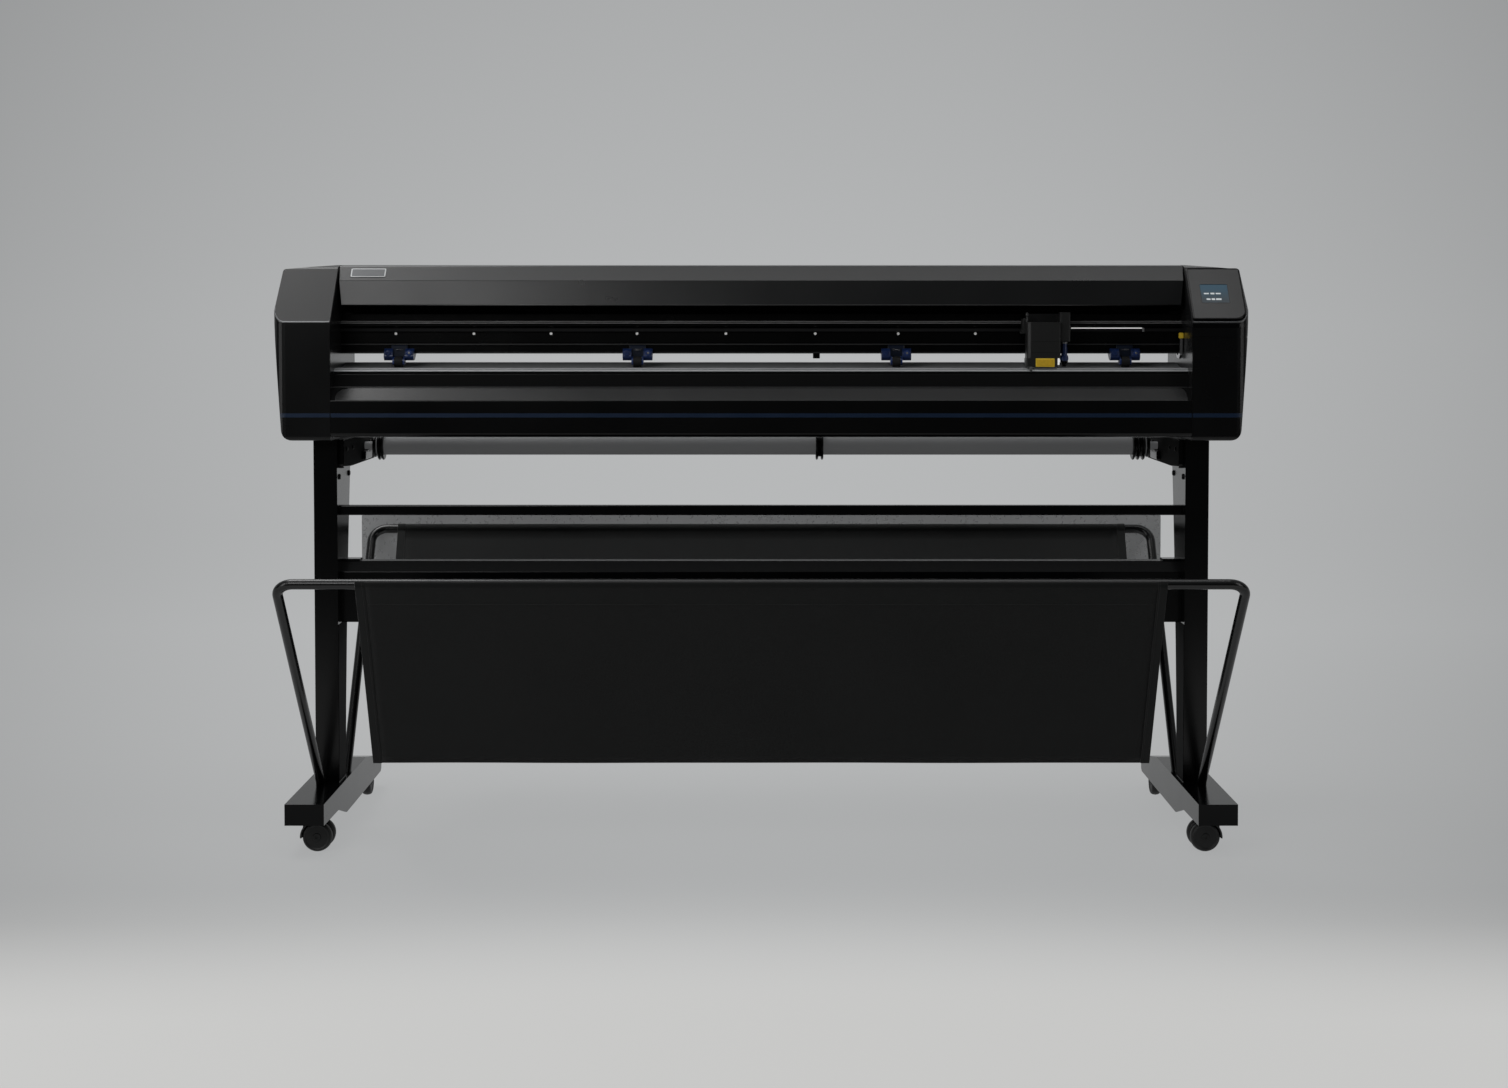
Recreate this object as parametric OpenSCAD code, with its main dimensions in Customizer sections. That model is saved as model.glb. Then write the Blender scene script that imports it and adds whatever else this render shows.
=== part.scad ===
// Roll-fed vinyl cutter on a castered stand with a media basket.
// +X is the operator's right, -Y the operator's side, +Z up; Z = 0 is the floor.
// Depths named "d" run backwards from the front ends of the two feet.

/* [Feet] */
// Distance of a foot's centre line outside the cutting opening
foot_out = 25; // [0:1:40]
// Length of a foot, front to back
foot_l = 680; // [640:5:760]
// Width of a foot
foot_w = 76; // [74:1:90]
// Height of a foot's flat top above the floor
foot_top = 102; // [95:1:120]
// Height of a foot's front face
foot_nose = 41; // [34:1:42]
// Height of the deep skirt behind the front casters
foot_skirt = 68; // [60:1:72]
// Sheet thickness of feet and legs
sheet = 3; // [2:0.5:4]

/* [Wheels] */
// Diameter of the wheels
wheel_d = 58; // [50:1:59]
// Width of one wheel of a twin pair
wheel_w = 20; // [16:1:24]
// Width of the caster body between its two wheels
hood_w = 16; // [12:1:18]
// Offset of the wheel axle from the caster's swivel axis
caster_trail = 16; // [12:1:20]
// Radius of the wheel axles
axle_r = 4; // [3:0.5:6]
// Radius of the caster's swivel stem
stem_r = 5.5; // [4:0.5:7]
// Depth of the front casters behind the foot's front end
caster_front_d = 70; // [66:1:90]
// Distance of the rear wheels' axle before the foot's rear end
wheel_end = 96; // [80:1:120]

/* [Legs and bars] */
// Height of the legs between the feet and the body
leg_h = 692; // [600:2:760]
// Width of a leg, seen from the front
leg_w = 47; // [35:1:60]
// Depth of a leg at its top
leg_top_l = 162; // [130:1:180]
// Depth of a leg at its foot
leg_foot_l = 75; // [60:1:90]
// Distance of the top bar's middle below the body
bar_drop = 144; // [100:1:160]
// Size of the square top bar
bar_h = 20; // [16:1:30]
// Height of the wide cross-beam's lower edge above the floor
beam_z = 422; // [390:1:440]
// Height of the wide cross-beam
beam_h = 123; // [90:1:140]
// Depth of the wide cross-beam
beam_l = 50; // [40:1:60]

/* [Basket] */
// Diameter of the basket tubes
tube_d = 19; // [16:1:22]
// Reach of the front basket bar in front of the feet
reach_front = 233; // [150:1:260]
// Depth of the rear basket bar behind the feet's front ends
rear_bar_d = 666; // [560:1:667]
// Height of the front basket bar
front_bar_z = 555; // [480:1:600]
// Height of the rear basket bar
rear_bar_z = 572; // [520:1:600]
// Bend radius of the basket tubes, at the tube's middle
tube_bend = 32; // [26:1:60]
// Distance of the cloth's front corners inside the front tube's middle
cloth_in_front = 126; // [80:1:230]
// Distance of the cloth's rear corners inside the rear tube's middle
cloth_in_rear = 55.5; // [48:0.5:150]
// Height of the cloth's lowest fold above the floor
cloth_low_z = 175; // [140:1:260]
// Depth of the cloth's lowest fold
cloth_low_d = 44; // [0:1:120]
// Thickness of the cloth's solid
cloth_t = 3; // [2:0.5:5]
// Height of the rear guard sheet
guard_h = 112; // [60:1:130]

/* [Body shell] */
// Width of an end cap
cap_w = 114.5; // [104:0.5:134]
// Height of the body
body_h = 351; // [345:1:380]
// Depth of the body
body_l = 283; // [275:1:320]
// Depth of the body's front behind the feet's front ends
body_d = 163; // [150:1:180]
// Width of the cutting opening between the end caps
open_w = 1710; // [1600:2:1720]
// Wall of the moulded covers
wall = 4; // [2.5:0.5:5]
// Height of the front cover's upright face
front_h = 80; // [70:1:86]
// Height of the end caps' front edge over the body's underside
cap_front_h = 235; // [225:1:245]
// Lift of the front cover and the tray over the end caps' underside
belly_lift = 7; // [2:1:12]
// Depth of the shelf on top of the front cover
shelf_l = 27; // [20:1:32]
// Rise of the shelf, front to back
shelf_h = 24; // [16:1:28]
// Distance of the lid's lower edge behind the body's front
lid_d = 77; // [70:1:90]
// Distance of the lid's lower edge below the body's top
lid_drop = 82; // [72:1:92]
// Height of the lid's steep lower face
lid_face = 50; // [36:1:56]
// Height of the body's rounded rear edge
rear_fall = 84; // [60:1:100]
// Depth of the body's rounded rear edge
rear_round = 66; // [50:1:80]
// Side draft of the end caps, top to bottom
cap_draft = 17.5; // [4:0.5:22]
// Radius of the end caps' upright edges
cap_r = 26; // [10:1:34]

/* [Cutting mechanism] */
// Height of the platen over the body's underside
platen_h = 143; // [138:1:146]
// Radius of the media drum
drum_r = 15; // [11:0.5:16]
// Radius of the drum's journals
journal_r = 8; // [5:0.5:9]
// Radius of a pinch roller
pinch_r = 11; // [8:0.5:12]
// Width of a pinch roller
pinch_w = 16; // [12:1:18]
// Width of a pinch carrier
carrier_w = 60; // [48:1:70]
// Radius of the pinch lifting shaft
lift_r = 5; // [4:0.5:6]
// Height of the guide beam's section
y_beam_h = 86; // [80:1:90]
// Depth of the guide beam's section
y_beam_l = 80; // [70:1:90]
// Distance of the parked cutting head from the opening's right-hand end
head_park = 289; // [260:1:500]
// Width of the cutting head's cover
head_w = 67; // [60:1:76]
// Radius of the blade holder
holder_r = 6; // [5:0.5:7]
// Radius of the belt pulleys
pulley_r = 12; // [10:0.5:13]
// Width of the drive belt
belt_w = 6; // [4:0.5:8]

/* [Roll support] */
// Diameter of the two media support rollers
roller_d = 40; // [30:1:46]
// Distance between the two support rollers
roller_gap = 110; // [90:1:125]
// Depth of the front support roller behind the feet's front ends
roller_d0 = 480; // [474:1:500]
// Diameter of the media flanges
flange_d = 62; // [56:1:66]
// Thickness of the brackets that carry the support rollers
bracket_t = 10; // [6:1:14]
// Space between a support roller's end and its bracket
roller_clear = 25.5; // [4:0.5:32]

/* [Hidden] */

$fn = 48;
eps = 0.01;      // makes cuts run past a face
fit = 0.05;      // radial clearance of a running fit
gap = 0.3;       // gap between separate pieces

tube_r = tube_d / 2;
wheel_r = wheel_d / 2;
roller_r = roller_d / 2;
open_half = open_w / 2;
body_half = open_half + cap_w;
foot_x = open_half + foot_out;
caster_rear_d = foot_l - wheel_end;
// Y of the feet's front ends: the basket bar in front of them ends the object there
foot_y = (reach_front + tube_r - foot_l) / 2;
// Heights of the body
body_z = foot_top + leg_h;
top_z = body_z + body_h;
belly_z = body_z + belly_lift;
cap_front_z = body_z + cap_front_h;
front_z = body_z + front_h;
platen_z = body_z + platen_h;
ridge_z = platen_z + 8;
// The lid and the end caps share this slope
slope_run = 96;
slope_end_z = top_z - 5;
cap_x = open_half;
cap_back = body_d + body_l;
// Guide beam: its front face, underside and rail
beam_d = body_d + 129;
beam_low = platen_z + 28;
rail_h = 14;
rail_out = 8;
rail_z = beam_low + 53;
belt_z = rail_z - 5;
belt_t = 1.5;
// The drum, and the pinch rollers that press on it
drum_d = body_d + 107;
drum_z = platen_z + 0.5 - drum_r;
pinch_z = platen_z + 0.8 + pinch_r;
lift_d = beam_d + 12;
lift_z = beam_low + 11;
// Middles of the four pinch rollers, spread over the opening
pinch_x = [-735, -251, 274, 738] / 855 * open_half;
// Pulleys stand outside the side plates
pulley_x = cap_x + 50;
pulley_d = beam_d - 4.5 - belt_t / 2 + pulley_r;
// Cutting line and tool
cut_d = drum_d - 36;
head_back = cut_d + holder_r + 9;
head_x = open_half - head_park;
tool_x = head_x + head_w / 2 + 4 + holder_r;
// Leg and cross members
leg_x = foot_x - 6;
leg_in = leg_x - leg_w / 2;
leg_foot_d = 212;
leg_top_d = body_d + 45;
bar_z = body_z - bar_drop;
// Support rollers
roll_z = body_z - 27;

// ---- helpers ----

function unit(v) = v / norm(v);
// Points of the arc that rounds corner b, whose third number is its radius
function corner(a, b, c, n) =
    let (p = [b[0], b[1]], u = unit([a[0], a[1]] - p), v = unit([c[0], c[1]] - p),
         half = acos(max(-1, min(1, u * v))) / 2, m = p + unit(u + v) * b[2] / sin(half),
         s = p + u * b[2] / tan(half) - m, e = p + v * b[2] / tan(half) - m,
         a0 = atan2(s[1], s[0]), turn = atan2(s[0] * e[1] - s[1] * e[0], s * e))
    [for (i = [0:n]) m + b[2] * [cos(a0 + turn * i / n), sin(a0 + turn * i / n)]];
// A polygon with rounded corners: [x, y] is sharp, [x, y, radius] is rounded
function rounded(pts, n = 5) =
    [for (i = [0:len(pts) - 1])
        let (b = pts[i], k = len(pts))
        each (len(b) == 3 ? corner(pts[(i + k - 1) % k], b, pts[(i + 1) % k], n) : [b])];

// Extrudes a side profile given as [d, z] points along X
module side(w, pts, x = 0)
    translate([x, foot_y, 0]) rotate([90, 0, 90]) linear_extrude(w, center = true) polygon(pts);
// Extrudes a front profile given as [x, z] points from depth d0 to d1
module front(d0, d1, pts)
    translate([0, foot_y + d1, 0]) rotate([90, 0, 0]) linear_extrude(d1 - d0) polygon(pts);
// Extrudes a plan given as [x, d] points from z0 to z1
module plan(z0, z1, pts)
    translate([0, foot_y, z0]) linear_extrude(z1 - z0) polygon(pts);
// A block between x0..x1, d0..d1 and z0..z1
module block(x0, x1, d0, d1, z0, z1)
    translate([x0, foot_y + d0, z0]) cube([x1 - x0, d1 - d0, z1 - z0]);
// Cylinders along X, along Y and along Z
module rod_x(x0, x1, d, z, r)
    translate([x0, foot_y + d, z]) rotate([0, 90, 0]) cylinder(h = x1 - x0, r = r);
module rod_y(x, d0, d1, z, r)
    translate([x, foot_y + d0, z]) rotate([-90, 0, 0]) cylinder(h = d1 - d0, r = r);
module rod_z(x, d, z0, z1, r)
    translate([x, foot_y + d, z0]) cylinder(h = z1 - z0, r = r);
// Draws its child, mirrored to the left side when s is -1
module on(s) if (s < 0) mirror([1, 0, 0]) children(); else children();

// ---- stand ----

deep_d = 248;                  // where the deep skirt starts
taper_d = foot_l - 199;        // where the top starts to fall towards the rear
skirt_z = foot_top - foot_skirt;
nose_z = foot_top - foot_nose;

// Side outline of a foot, drawn in by t on its top and ends and down by t on its open underside
function foot_outline(t) = rounded([
    [t, nose_z - t], [t, foot_top - t], [taper_d, foot_top - t],
    [foot_l - 80, foot_top - 20 - t], [foot_l - t, foot_top - 52 - t, 4],
    [foot_l - t, skirt_z + 6 - t], [foot_l - 10, skirt_z - t],
    [deep_d, skirt_z - t], [deep_d - 90, nose_z - 3 - t]]);

// Height of a foot's top at depth d, on its flat, its rear taper and its end
function foot_top_z(d) =
    lookup(d, [[taper_d, foot_top], [foot_l - 80, foot_top - 20], [foot_l, foot_top - 52]]);

module foot() {
    inner = foot_w - 2 * sheet;
    difference() {
        union() {
            difference() {
                side(foot_w, foot_outline(0), foot_x);
                side(inner, foot_outline(sheet), foot_x);
            }
            // Plate that carries the front caster's stem
            block(foot_x - inner / 2 - eps, foot_x + inner / 2 + eps, sheet - eps, caster_front_d + 46,
                  nose_z, nose_z + 5);
            // Welded socket round the stem
            rod_z(foot_x, caster_front_d, nose_z + 5 - eps, foot_top - sheet + eps, stem_r + 5);
        }
        rod_z(foot_x, caster_front_d, nose_z - eps, nose_z + 5 + 24, stem_r + fit);
        front_tube(gap);
        rear_tube(gap);
    }
}

// Depth of a leg's front and rear edges at height z
function leg_front(z) = leg_top_d + (leg_foot_d - leg_top_d) * pow((body_z - z) / leg_h, 0.55);
function leg_rear(z) = leg_foot_d + leg_foot_l
    + (leg_top_d + leg_top_l - leg_foot_d - leg_foot_l) * pow((z - foot_top) / leg_h, 1.6);
function leg_outline(t) = concat(
    [for (i = [0:5]) let (z = foot_top + leg_h * i / 5) [leg_front(z) + t, z]],
    [for (i = [5:-1:0]) let (z = foot_top + leg_h * i / 5) [leg_rear(z) - t, z]]);

module leg() {
    difference() {
        side(leg_w, leg_outline(0), leg_x);
        side(leg_w - 2 * sheet, leg_outline(sheet), leg_x);
    }
}

// Outline of the cross-beam with its bevelled upper front edge, drawn in by t
function beam_outline(d0, t) = rounded([
    [d0 + t, beam_z + t, 2], [d0 + t, beam_z + beam_h - 21 - t * 0.4, 3],
    [d0 + 14 + t * 0.4, beam_z + beam_h - t, 3], [d0 + beam_l - t, beam_z + beam_h - t, 4],
    [d0 + beam_l - t, beam_z + t, 2]]);
// Both cross members end on the legs' inner faces
module cross_beam() {
    color([0.05, 0.05, 0.055]) {
        d0 = leg_front(beam_z + beam_h) + 34;
        difference() {
            side(2 * leg_in - 2 * gap, beam_outline(d0, 0));
            side(2 * leg_in, beam_outline(d0, sheet));
        }
        // Angle brackets on the beam's ends
        for (s = [-1, 1]) on(s)
            side(36, rounded([[d0 + 16, beam_z + beam_h - eps], [d0 + 16, beam_z + beam_h + 4],
                [d0 + beam_l - 4, beam_z + beam_h + 4], [d0 + beam_l - 4, beam_z + beam_h - eps]]),
                leg_in - gap - 18);
    }
}

module top_bar() {
    color([0.04, 0.04, 0.045])
        side(2 * leg_in - 2 * gap, let (d0 = leg_front(bar_z) + 23) rounded([
            [d0, bar_z - bar_h / 2, 2], [d0, bar_z + bar_h / 2, 2],
            [d0 + bar_h, bar_z + bar_h / 2, 2], [d0 + bar_h, bar_z - bar_h / 2, 2]], 3));
}

// Button-head bolts on the inner faces of the legs
module stand_bolts() {
    bolt_r = 6;
    spots = [[leg_top_d + 24, body_z - 76], [leg_top_d + leg_top_l - 30, body_z - 76]];
    color([0.08, 0.08, 0.08]) for (s = [-1, 1]) on(s) for (p = spots)
        translate([leg_in, foot_y + p[0], p[1]]) rotate([0, -90, 0]) rotate_extrude($fn = 24)
            polygon([[0, 0], [bolt_r, 0], [bolt_r * 0.9, 2.4], [bolt_r * 0.55, 3.6], [0, 3.6]]);
}

// ---- casters ----

wheel_off = hood_w / 2 + 0.5;  // distance from the caster's middle to a wheel's inner face
twin_half = wheel_off + wheel_w;

// A wheel with a rounded tread and a dished face, standing on the plane z = 0 along +Z
module wheel() {
    tread = 5;
    rotate_extrude($fn = 40) polygon(concat(
        [[axle_r - 0.5, 0], [wheel_r - tread, 0]],
        [for (a = [-60:30:60]) [wheel_r - tread + tread * cos(a), wheel_w / 2 + (wheel_w / 2) * sin(a)]],
        [[wheel_r - tread, wheel_w], [wheel_r - tread - 3, wheel_w - 1.5], [axle_r + 4, wheel_w - 1.5],
         [axle_r + 3, wheel_w], [axle_r - 0.5, wheel_w]]));
}

// The twin wheels and the axle that joins them; the axle lies along Z, its middle at the origin
module twin_wheels() {
    for (s = [0, 1]) mirror([0, 0, s]) translate([0, 0, wheel_off]) wheel();
    cylinder(h = 2 * wheel_off + 2 * wheel_w - 4, r = axle_r, center = true, $fn = 32);
}

// Front casters stand sideways: their axles lie along Y and their wheels trail inwards
axle_x = foot_x - caster_trail;
module caster_wheels(s) {
    color([0.05, 0.05, 0.05]) on(s)
        translate([axle_x, foot_y + caster_front_d, wheel_r]) rotate([90, 0, 0]) twin_wheels();
}
module caster_hood(s) {
    d0 = caster_front_d - hood_w / 2;
    color([0.06, 0.06, 0.06]) on(s) difference() {
        union() {
            // Web between the wheels, with the shield that covers their outer upper quarter
            front(d0, d0 + hood_w, rounded([
                [axle_x - 9, wheel_r - 8, 6], [axle_x - 12, wheel_r + 12, 6],
                [foot_x - stem_r - 6, nose_z - 1.2, 2], [foot_x + 13, nose_z - 1.2, 2],
                [foot_x + 17, wheel_r, 4], [axle_x + 12, wheel_r - 9, 5]]));
            difference() {
                translate([axle_x, foot_y + caster_front_d, wheel_r]) rotate([90, 0, 0])
                    rotate([0, 0, -4]) rotate_extrude(angle = 62, $fn = 40)
                    translate([wheel_r + 1, -twin_half + 1]) square([3, 2 * twin_half - 2]);
                block(foot_x - wheel_d, foot_x + wheel_d, caster_front_d - wheel_d, caster_front_d + wheel_d,
                      nose_z - 1.2, nose_z + wheel_d);
            }
            rod_z(foot_x, caster_front_d, nose_z - 6, nose_z + 26, stem_r);
            rod_z(foot_x, caster_front_d, nose_z - 6, nose_z - 0.4, stem_r + 4);
        }
        rod_y(axle_x, d0 - 30, d0 + hood_w + 30, wheel_r, axle_r + fit);
    }
}

// Fixed rear wheels run on an axle between the foot's two side walls
module rear_wheels(s) {
    color([0.05, 0.05, 0.05]) on(s) for (k = [-1, 1])
        translate([foot_x + k * (mount_half + 0.5), foot_y + caster_rear_d, wheel_r])
            rotate([0, 90 * k, 0]) difference() {
                wheel();
                translate([0, 0, -1]) cylinder(h = wheel_w + 2, r = axle_r + fit);
            }
}
// Web and axle of the fixed rear wheels, hung under the foot's top
mount_half = foot_w / 2 - sheet - wheel_w - 2;
module rear_wheel_mounts() {
    d = caster_rear_d;
    color([0.1, 0.1, 0.1]) for (s = [-1, 1]) on(s) {
        side(2 * mount_half, rounded([
            [d - 22, foot_top_z(d - 22) - sheet - gap], [d - 12, wheel_r - 8, 8], [d + 12, wheel_r - 8, 8],
            [d + 15, foot_top_z(d + 15) - sheet - gap]]), foot_x);
        rod_x(foot_x - mount_half - wheel_w, foot_x + mount_half + wheel_w, d, wheel_r, axle_r);
    }
}

// ---- basket ----

front_tube_x = foot_x + 4;
rear_tube_x = foot_x - foot_w / 2 + sheet + tube_r + 1;
front_base_d = leg_foot_d - 15;
rear_base_d = leg_foot_d + leg_foot_l + tube_r + 28;
foot_bite = 12;                // how far a tube reaches into its foot

// A U of bent tube. Its legs rise from depth d0 at the foot to the bar at [d1, z1], side by side at x = +-hx;
// grow makes it thicker, for the holes it sits in
module tube_loop(hx, d0, d1, z1, grow = 0) {
    rise = z1 - foot_top;
    run = d1 - d0;
    len = sqrt(rise * rise + run * run);
    r = tube_r + grow;
    bite = foot_bite + (grow == 0 ? 0 : 1);
    translate([0, foot_y + d0, foot_top]) rotate([-atan2(run, rise), 0, 0]) {
        for (s = [-1, 1]) on(s) {
            translate([hx, 0, -bite]) cylinder(h = len - tube_bend + bite, r = r, $fn = 32);
            translate([hx - tube_bend, 0, len - tube_bend]) rotate([90, 0, 0])
                rotate_extrude(angle = 90, $fn = 32) translate([tube_bend, 0]) circle(r = r, $fn = 32);
        }
        translate([-(hx - tube_bend), 0, len]) rotate([0, 90, 0])
            cylinder(h = 2 * (hx - tube_bend), r = r, $fn = 32);
    }
}
module front_tube(grow = 0) tube_loop(front_tube_x, front_base_d, -reach_front, front_bar_z, grow);
module rear_tube(grow = 0) tube_loop(rear_tube_x, rear_base_d, rear_bar_d, rear_bar_z, grow);
tube_wall = 1.6;
module basket_front_loop() color([0.07, 0.07, 0.075]) difference() {
    front_tube();
    front_tube(-tube_wall);
}
module basket_rear_loop() color([0.07, 0.07, 0.075]) difference() {
    rear_tube();
    rear_tube(-tube_wall);
}

// Half widths of the cloth at the front bar and at the rear bar
cloth_half = front_tube_x - cloth_in_front;
cloth_rear_half = rear_tube_x - cloth_in_rear;

// Height of the cloth's rear panel, a shallow catenary-like sag between the fold and the rear bar
function rear_cloth(t) = [cloth_low_d + (rear_bar_d - tube_r - gap - cloth_low_d) * t,
                          cloth_low_z + (rear_bar_z - cloth_low_z) * t - 60 * sin(180 * t) * t];
cloth_line = concat(
    [for (t = [0:0.25:1]) [-reach_front + (cloth_low_d + reach_front) * t + (tube_r + gap) * (1 - t),
                            front_bar_z - 2 + (cloth_low_z + 2 - front_bar_z) * t]],
    [for (t = [0.1:0.15:1]) rear_cloth(t)]);
// The line moved sideways by t, for the cloth's other face
function shifted(pts, t) = [for (i = [0:len(pts) - 1])
    let (a = pts[max(0, i - 1)], b = pts[min(len(pts) - 1, i + 1)], n = unit(b - a))
    pts[i] + t * [-n[1], n[0]]];

// The cloth hangs in one trough between the two bars
module basket_cloth() {
    back = [for (i = [len(cloth_line) - 1:-1:0]) shifted(cloth_line, cloth_t)[i]];
    color([0.07, 0.07, 0.07]) intersection() {
        side(2 * cloth_rear_half, concat(cloth_line, back));
        plan(0, body_z, [
            [-cloth_half, -reach_front - 50], [cloth_half, -reach_front - 50],
            [cloth_half, cloth_low_d + 40], [cloth_rear_half, rear_bar_d],
            [-cloth_rear_half, rear_bar_d], [-cloth_half, cloth_low_d + 40]]);
    }
}

// Stiff grey sheet clipped behind the rear bar
module rear_guard() {
    top = rear_bar_z + 38;
    half = rear_tube_x + 26;
    d0 = rear_bar_d + tube_r + gap;
    color([0.4, 0.41, 0.42]) front(d0, d0 + 2, rounded([
        [-half, top - guard_h, 4], [half, top - guard_h, 4], [half, top, 12], [-half, top, 12]], 4));
}

// ---- roll support ----

roller_depths = [roller_d0, roller_d0 + roller_gap];

// Side arms fixed to the legs' inner faces
module roll_brackets() {
    arm_d = leg_top_d + 18;
    end_d = roller_d0 + roller_gap + roller_r;
    color([0.06, 0.06, 0.06]) for (s = [-1, 1]) on(s) difference() {
        side(bracket_t - gap, rounded([
            [arm_d, body_z - 1, 3], [arm_d, roll_z - roller_r - 12, 8],
            [end_d, roll_z - roller_r - 14, 14], [end_d + 12, body_z - 1, 14]]),
            leg_in - (bracket_t + gap) / 2);
        for (d = roller_depths)
            rod_x(leg_in - 2 * bracket_t, leg_in + bracket_t, d, roll_z, journal_r + fit);
    }
}

// A smooth roller with stub journals that run in the two brackets
roller_half = leg_in - bracket_t - roller_clear;
module support_roller(i) {
    color([0.45, 0.46, 0.47]) {
        rod_x(-roller_half, roller_half, roller_depths[i], roll_z, roller_r);
        rod_x(-leg_in + 1, leg_in - 1, roller_depths[i], roll_z, journal_r);
    }
}

// Middles of the three media flanges, the outer two at the rollers' ends
flange_x = [9 - roller_half, 0.15 * roller_half, roller_half - 14];
// A sliding guide for the roll's edge: a finned ring round the front roller
module media_flange(i) {
    r = roller_r + fit;
    fins = i == 0 ? [-5, 3] : i == 1 ? [-7, 4] : [-16, -6, 5];
    len = fins[len(fins) - 1] - fins[0] + 5;
    color([0.03, 0.03, 0.03]) translate([flange_x[i] + fins[0], foot_y + roller_d0, roll_z])
        rotate([0, 90, 0]) difference() {
            union() {
                cylinder(h = len, r = roller_r + 4);
                for (f = fins) translate([0, 0, f - fins[0]]) rotate_extrude()
                    polygon([[roller_r + 2, 0], [flange_d / 2 - 2, 0], [flange_d / 2, 2],
                             [flange_d / 2, 3], [flange_d / 2 - 2, 5], [roller_r + 2, 5]]);
            }
            translate([0, 0, -1]) cylinder(h = len + 2, r = r);
        }
}

// ---- body shell ----

// Side outline of an end cap, drawn in by t; r rounds the edge below its slope
function cap_outline(t, r = 3) = rounded([
    [body_d + t, body_z + t, 8], [body_d + t, cap_front_z - t * 0.4, r],
    [body_d + slope_run + t * 0.4, slope_end_z - t, 14], [body_d + slope_run + 34, top_z - t, 10],
    [cap_back - rear_round + 4, top_z - t, 24], [cap_back - t, top_z - rear_fall, 30],
    [cap_back - t, body_z + t, 14]]);
// An end cap's outer form, drawn in by t: its side outline cut by its front and its plan
module cap_solid(t, r = 3) {
    low_x = body_half - cap_draft;
    x0 = t > 0 ? cap_x - 1 : cap_x;
    intersection() {
        side(body_half - x0, cap_outline(t, r), (body_half + x0) / 2);
        front(body_d, cap_back, rounded([
            [x0, body_z + t], [low_x - t, body_z + t, 22], [body_half - t, cap_front_z + 12],
            [body_half - 5 - t, top_z - 9 - t, 6], [x0, top_z + 0.5 - t]], 6));
        plan(body_z, top_z + 1, rounded([
            [x0, body_d + t], [body_half - t, body_d + t, cap_r],
            [body_half - t, cap_back - t, cap_r], [x0, cap_back - t]], 6));
    }
}
// Height of the joint line round the right cap, under its control panel
seam_z = cap_front_z - 29;
module end_cap(s) {
    color([0.09, 0.09, 0.095]) on(s) difference() {
        cap_solid(0, s > 0 ? 12 : 3);
        cap_solid(wall);
        if (s > 0) difference() {
            block(cap_x - 1, body_half + 1, body_d - 1, cap_back + 1, seam_z - 0.7, seam_z + 0.7);
            cap_solid(1);
        }
        // Window for the power inlet in the right cap's back
        if (s > 0) block(inlet_x - 25, inlet_x + 25, cap_back - wall - 1, cap_back + 1,
                         inlet_z - 14, inlet_z + 14);
    }
}

// The front cover: an upright face, a sloped shelf and a lip under the platen's nose
function front_line(t) = rounded([
    [body_d + 37, belly_z + t], [body_d + t, belly_z + t, 8], [body_d + t, front_z - t * 0.4, 3],
    [body_d + shelf_l + t * 0.4, front_z + shelf_h - t, 3],
    [body_d + shelf_l + 4 + t, front_z + shelf_h + 1 - t, 3],
    [body_d + shelf_l + 13 + t, platen_z - 12]]);
function reversed(l) = [for (i = [len(l) - 1:-1:0]) l[i]];
// Closes an open line with its inner twin to a thin-walled profile
module shell(w, outer, inner) side(w, concat(outer, reversed(inner)));

module front_cover() {
    color([0.05, 0.05, 0.055]) shell(open_w - 2 * gap, front_line(0), front_line(wall));
}

// Lid over the beam, with ends that draw in towards its lower edge
lid_low = top_z - lid_drop;
function lid_line(t) = rounded([
    [body_d + lid_d + t, lid_low], [body_d + lid_d + 10 + t, lid_low + lid_face - t * 0.5, 3],
    [body_d + lid_d + 38 + t * 0.4, top_z - 2 - t, 8], [body_d + lid_d + 63, top_z - t, 20],
    [cap_back - rear_round, top_z - t]]);
module top_cover() {
    color([0.2, 0.205, 0.21]) intersection() {
        shell(open_w, lid_line(0), lid_line(wall));
        front(body_d, cap_back, [
            [-open_half + 10, lid_low - 1], [open_half - 10, lid_low - 1],
            [open_half - gap, top_z + 1], [-open_half + gap, top_z + 1]]);
    }
}

// Rear cover, with the media slot under its lower edge
function rear_line(t) = rounded([
    [cap_back - rear_round + gap, top_z - t], [cap_back - rear_round + 8 - t * 0.4, top_z - t, 8],
    [cap_back - 6 - t, top_z - rear_fall, 24], [cap_back - 6 - t, ridge_z + 23]]);
module rear_cover()
    color([0.06, 0.06, 0.065]) shell(open_w - 2 * gap, rear_line(0), rear_line(wall));

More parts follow.
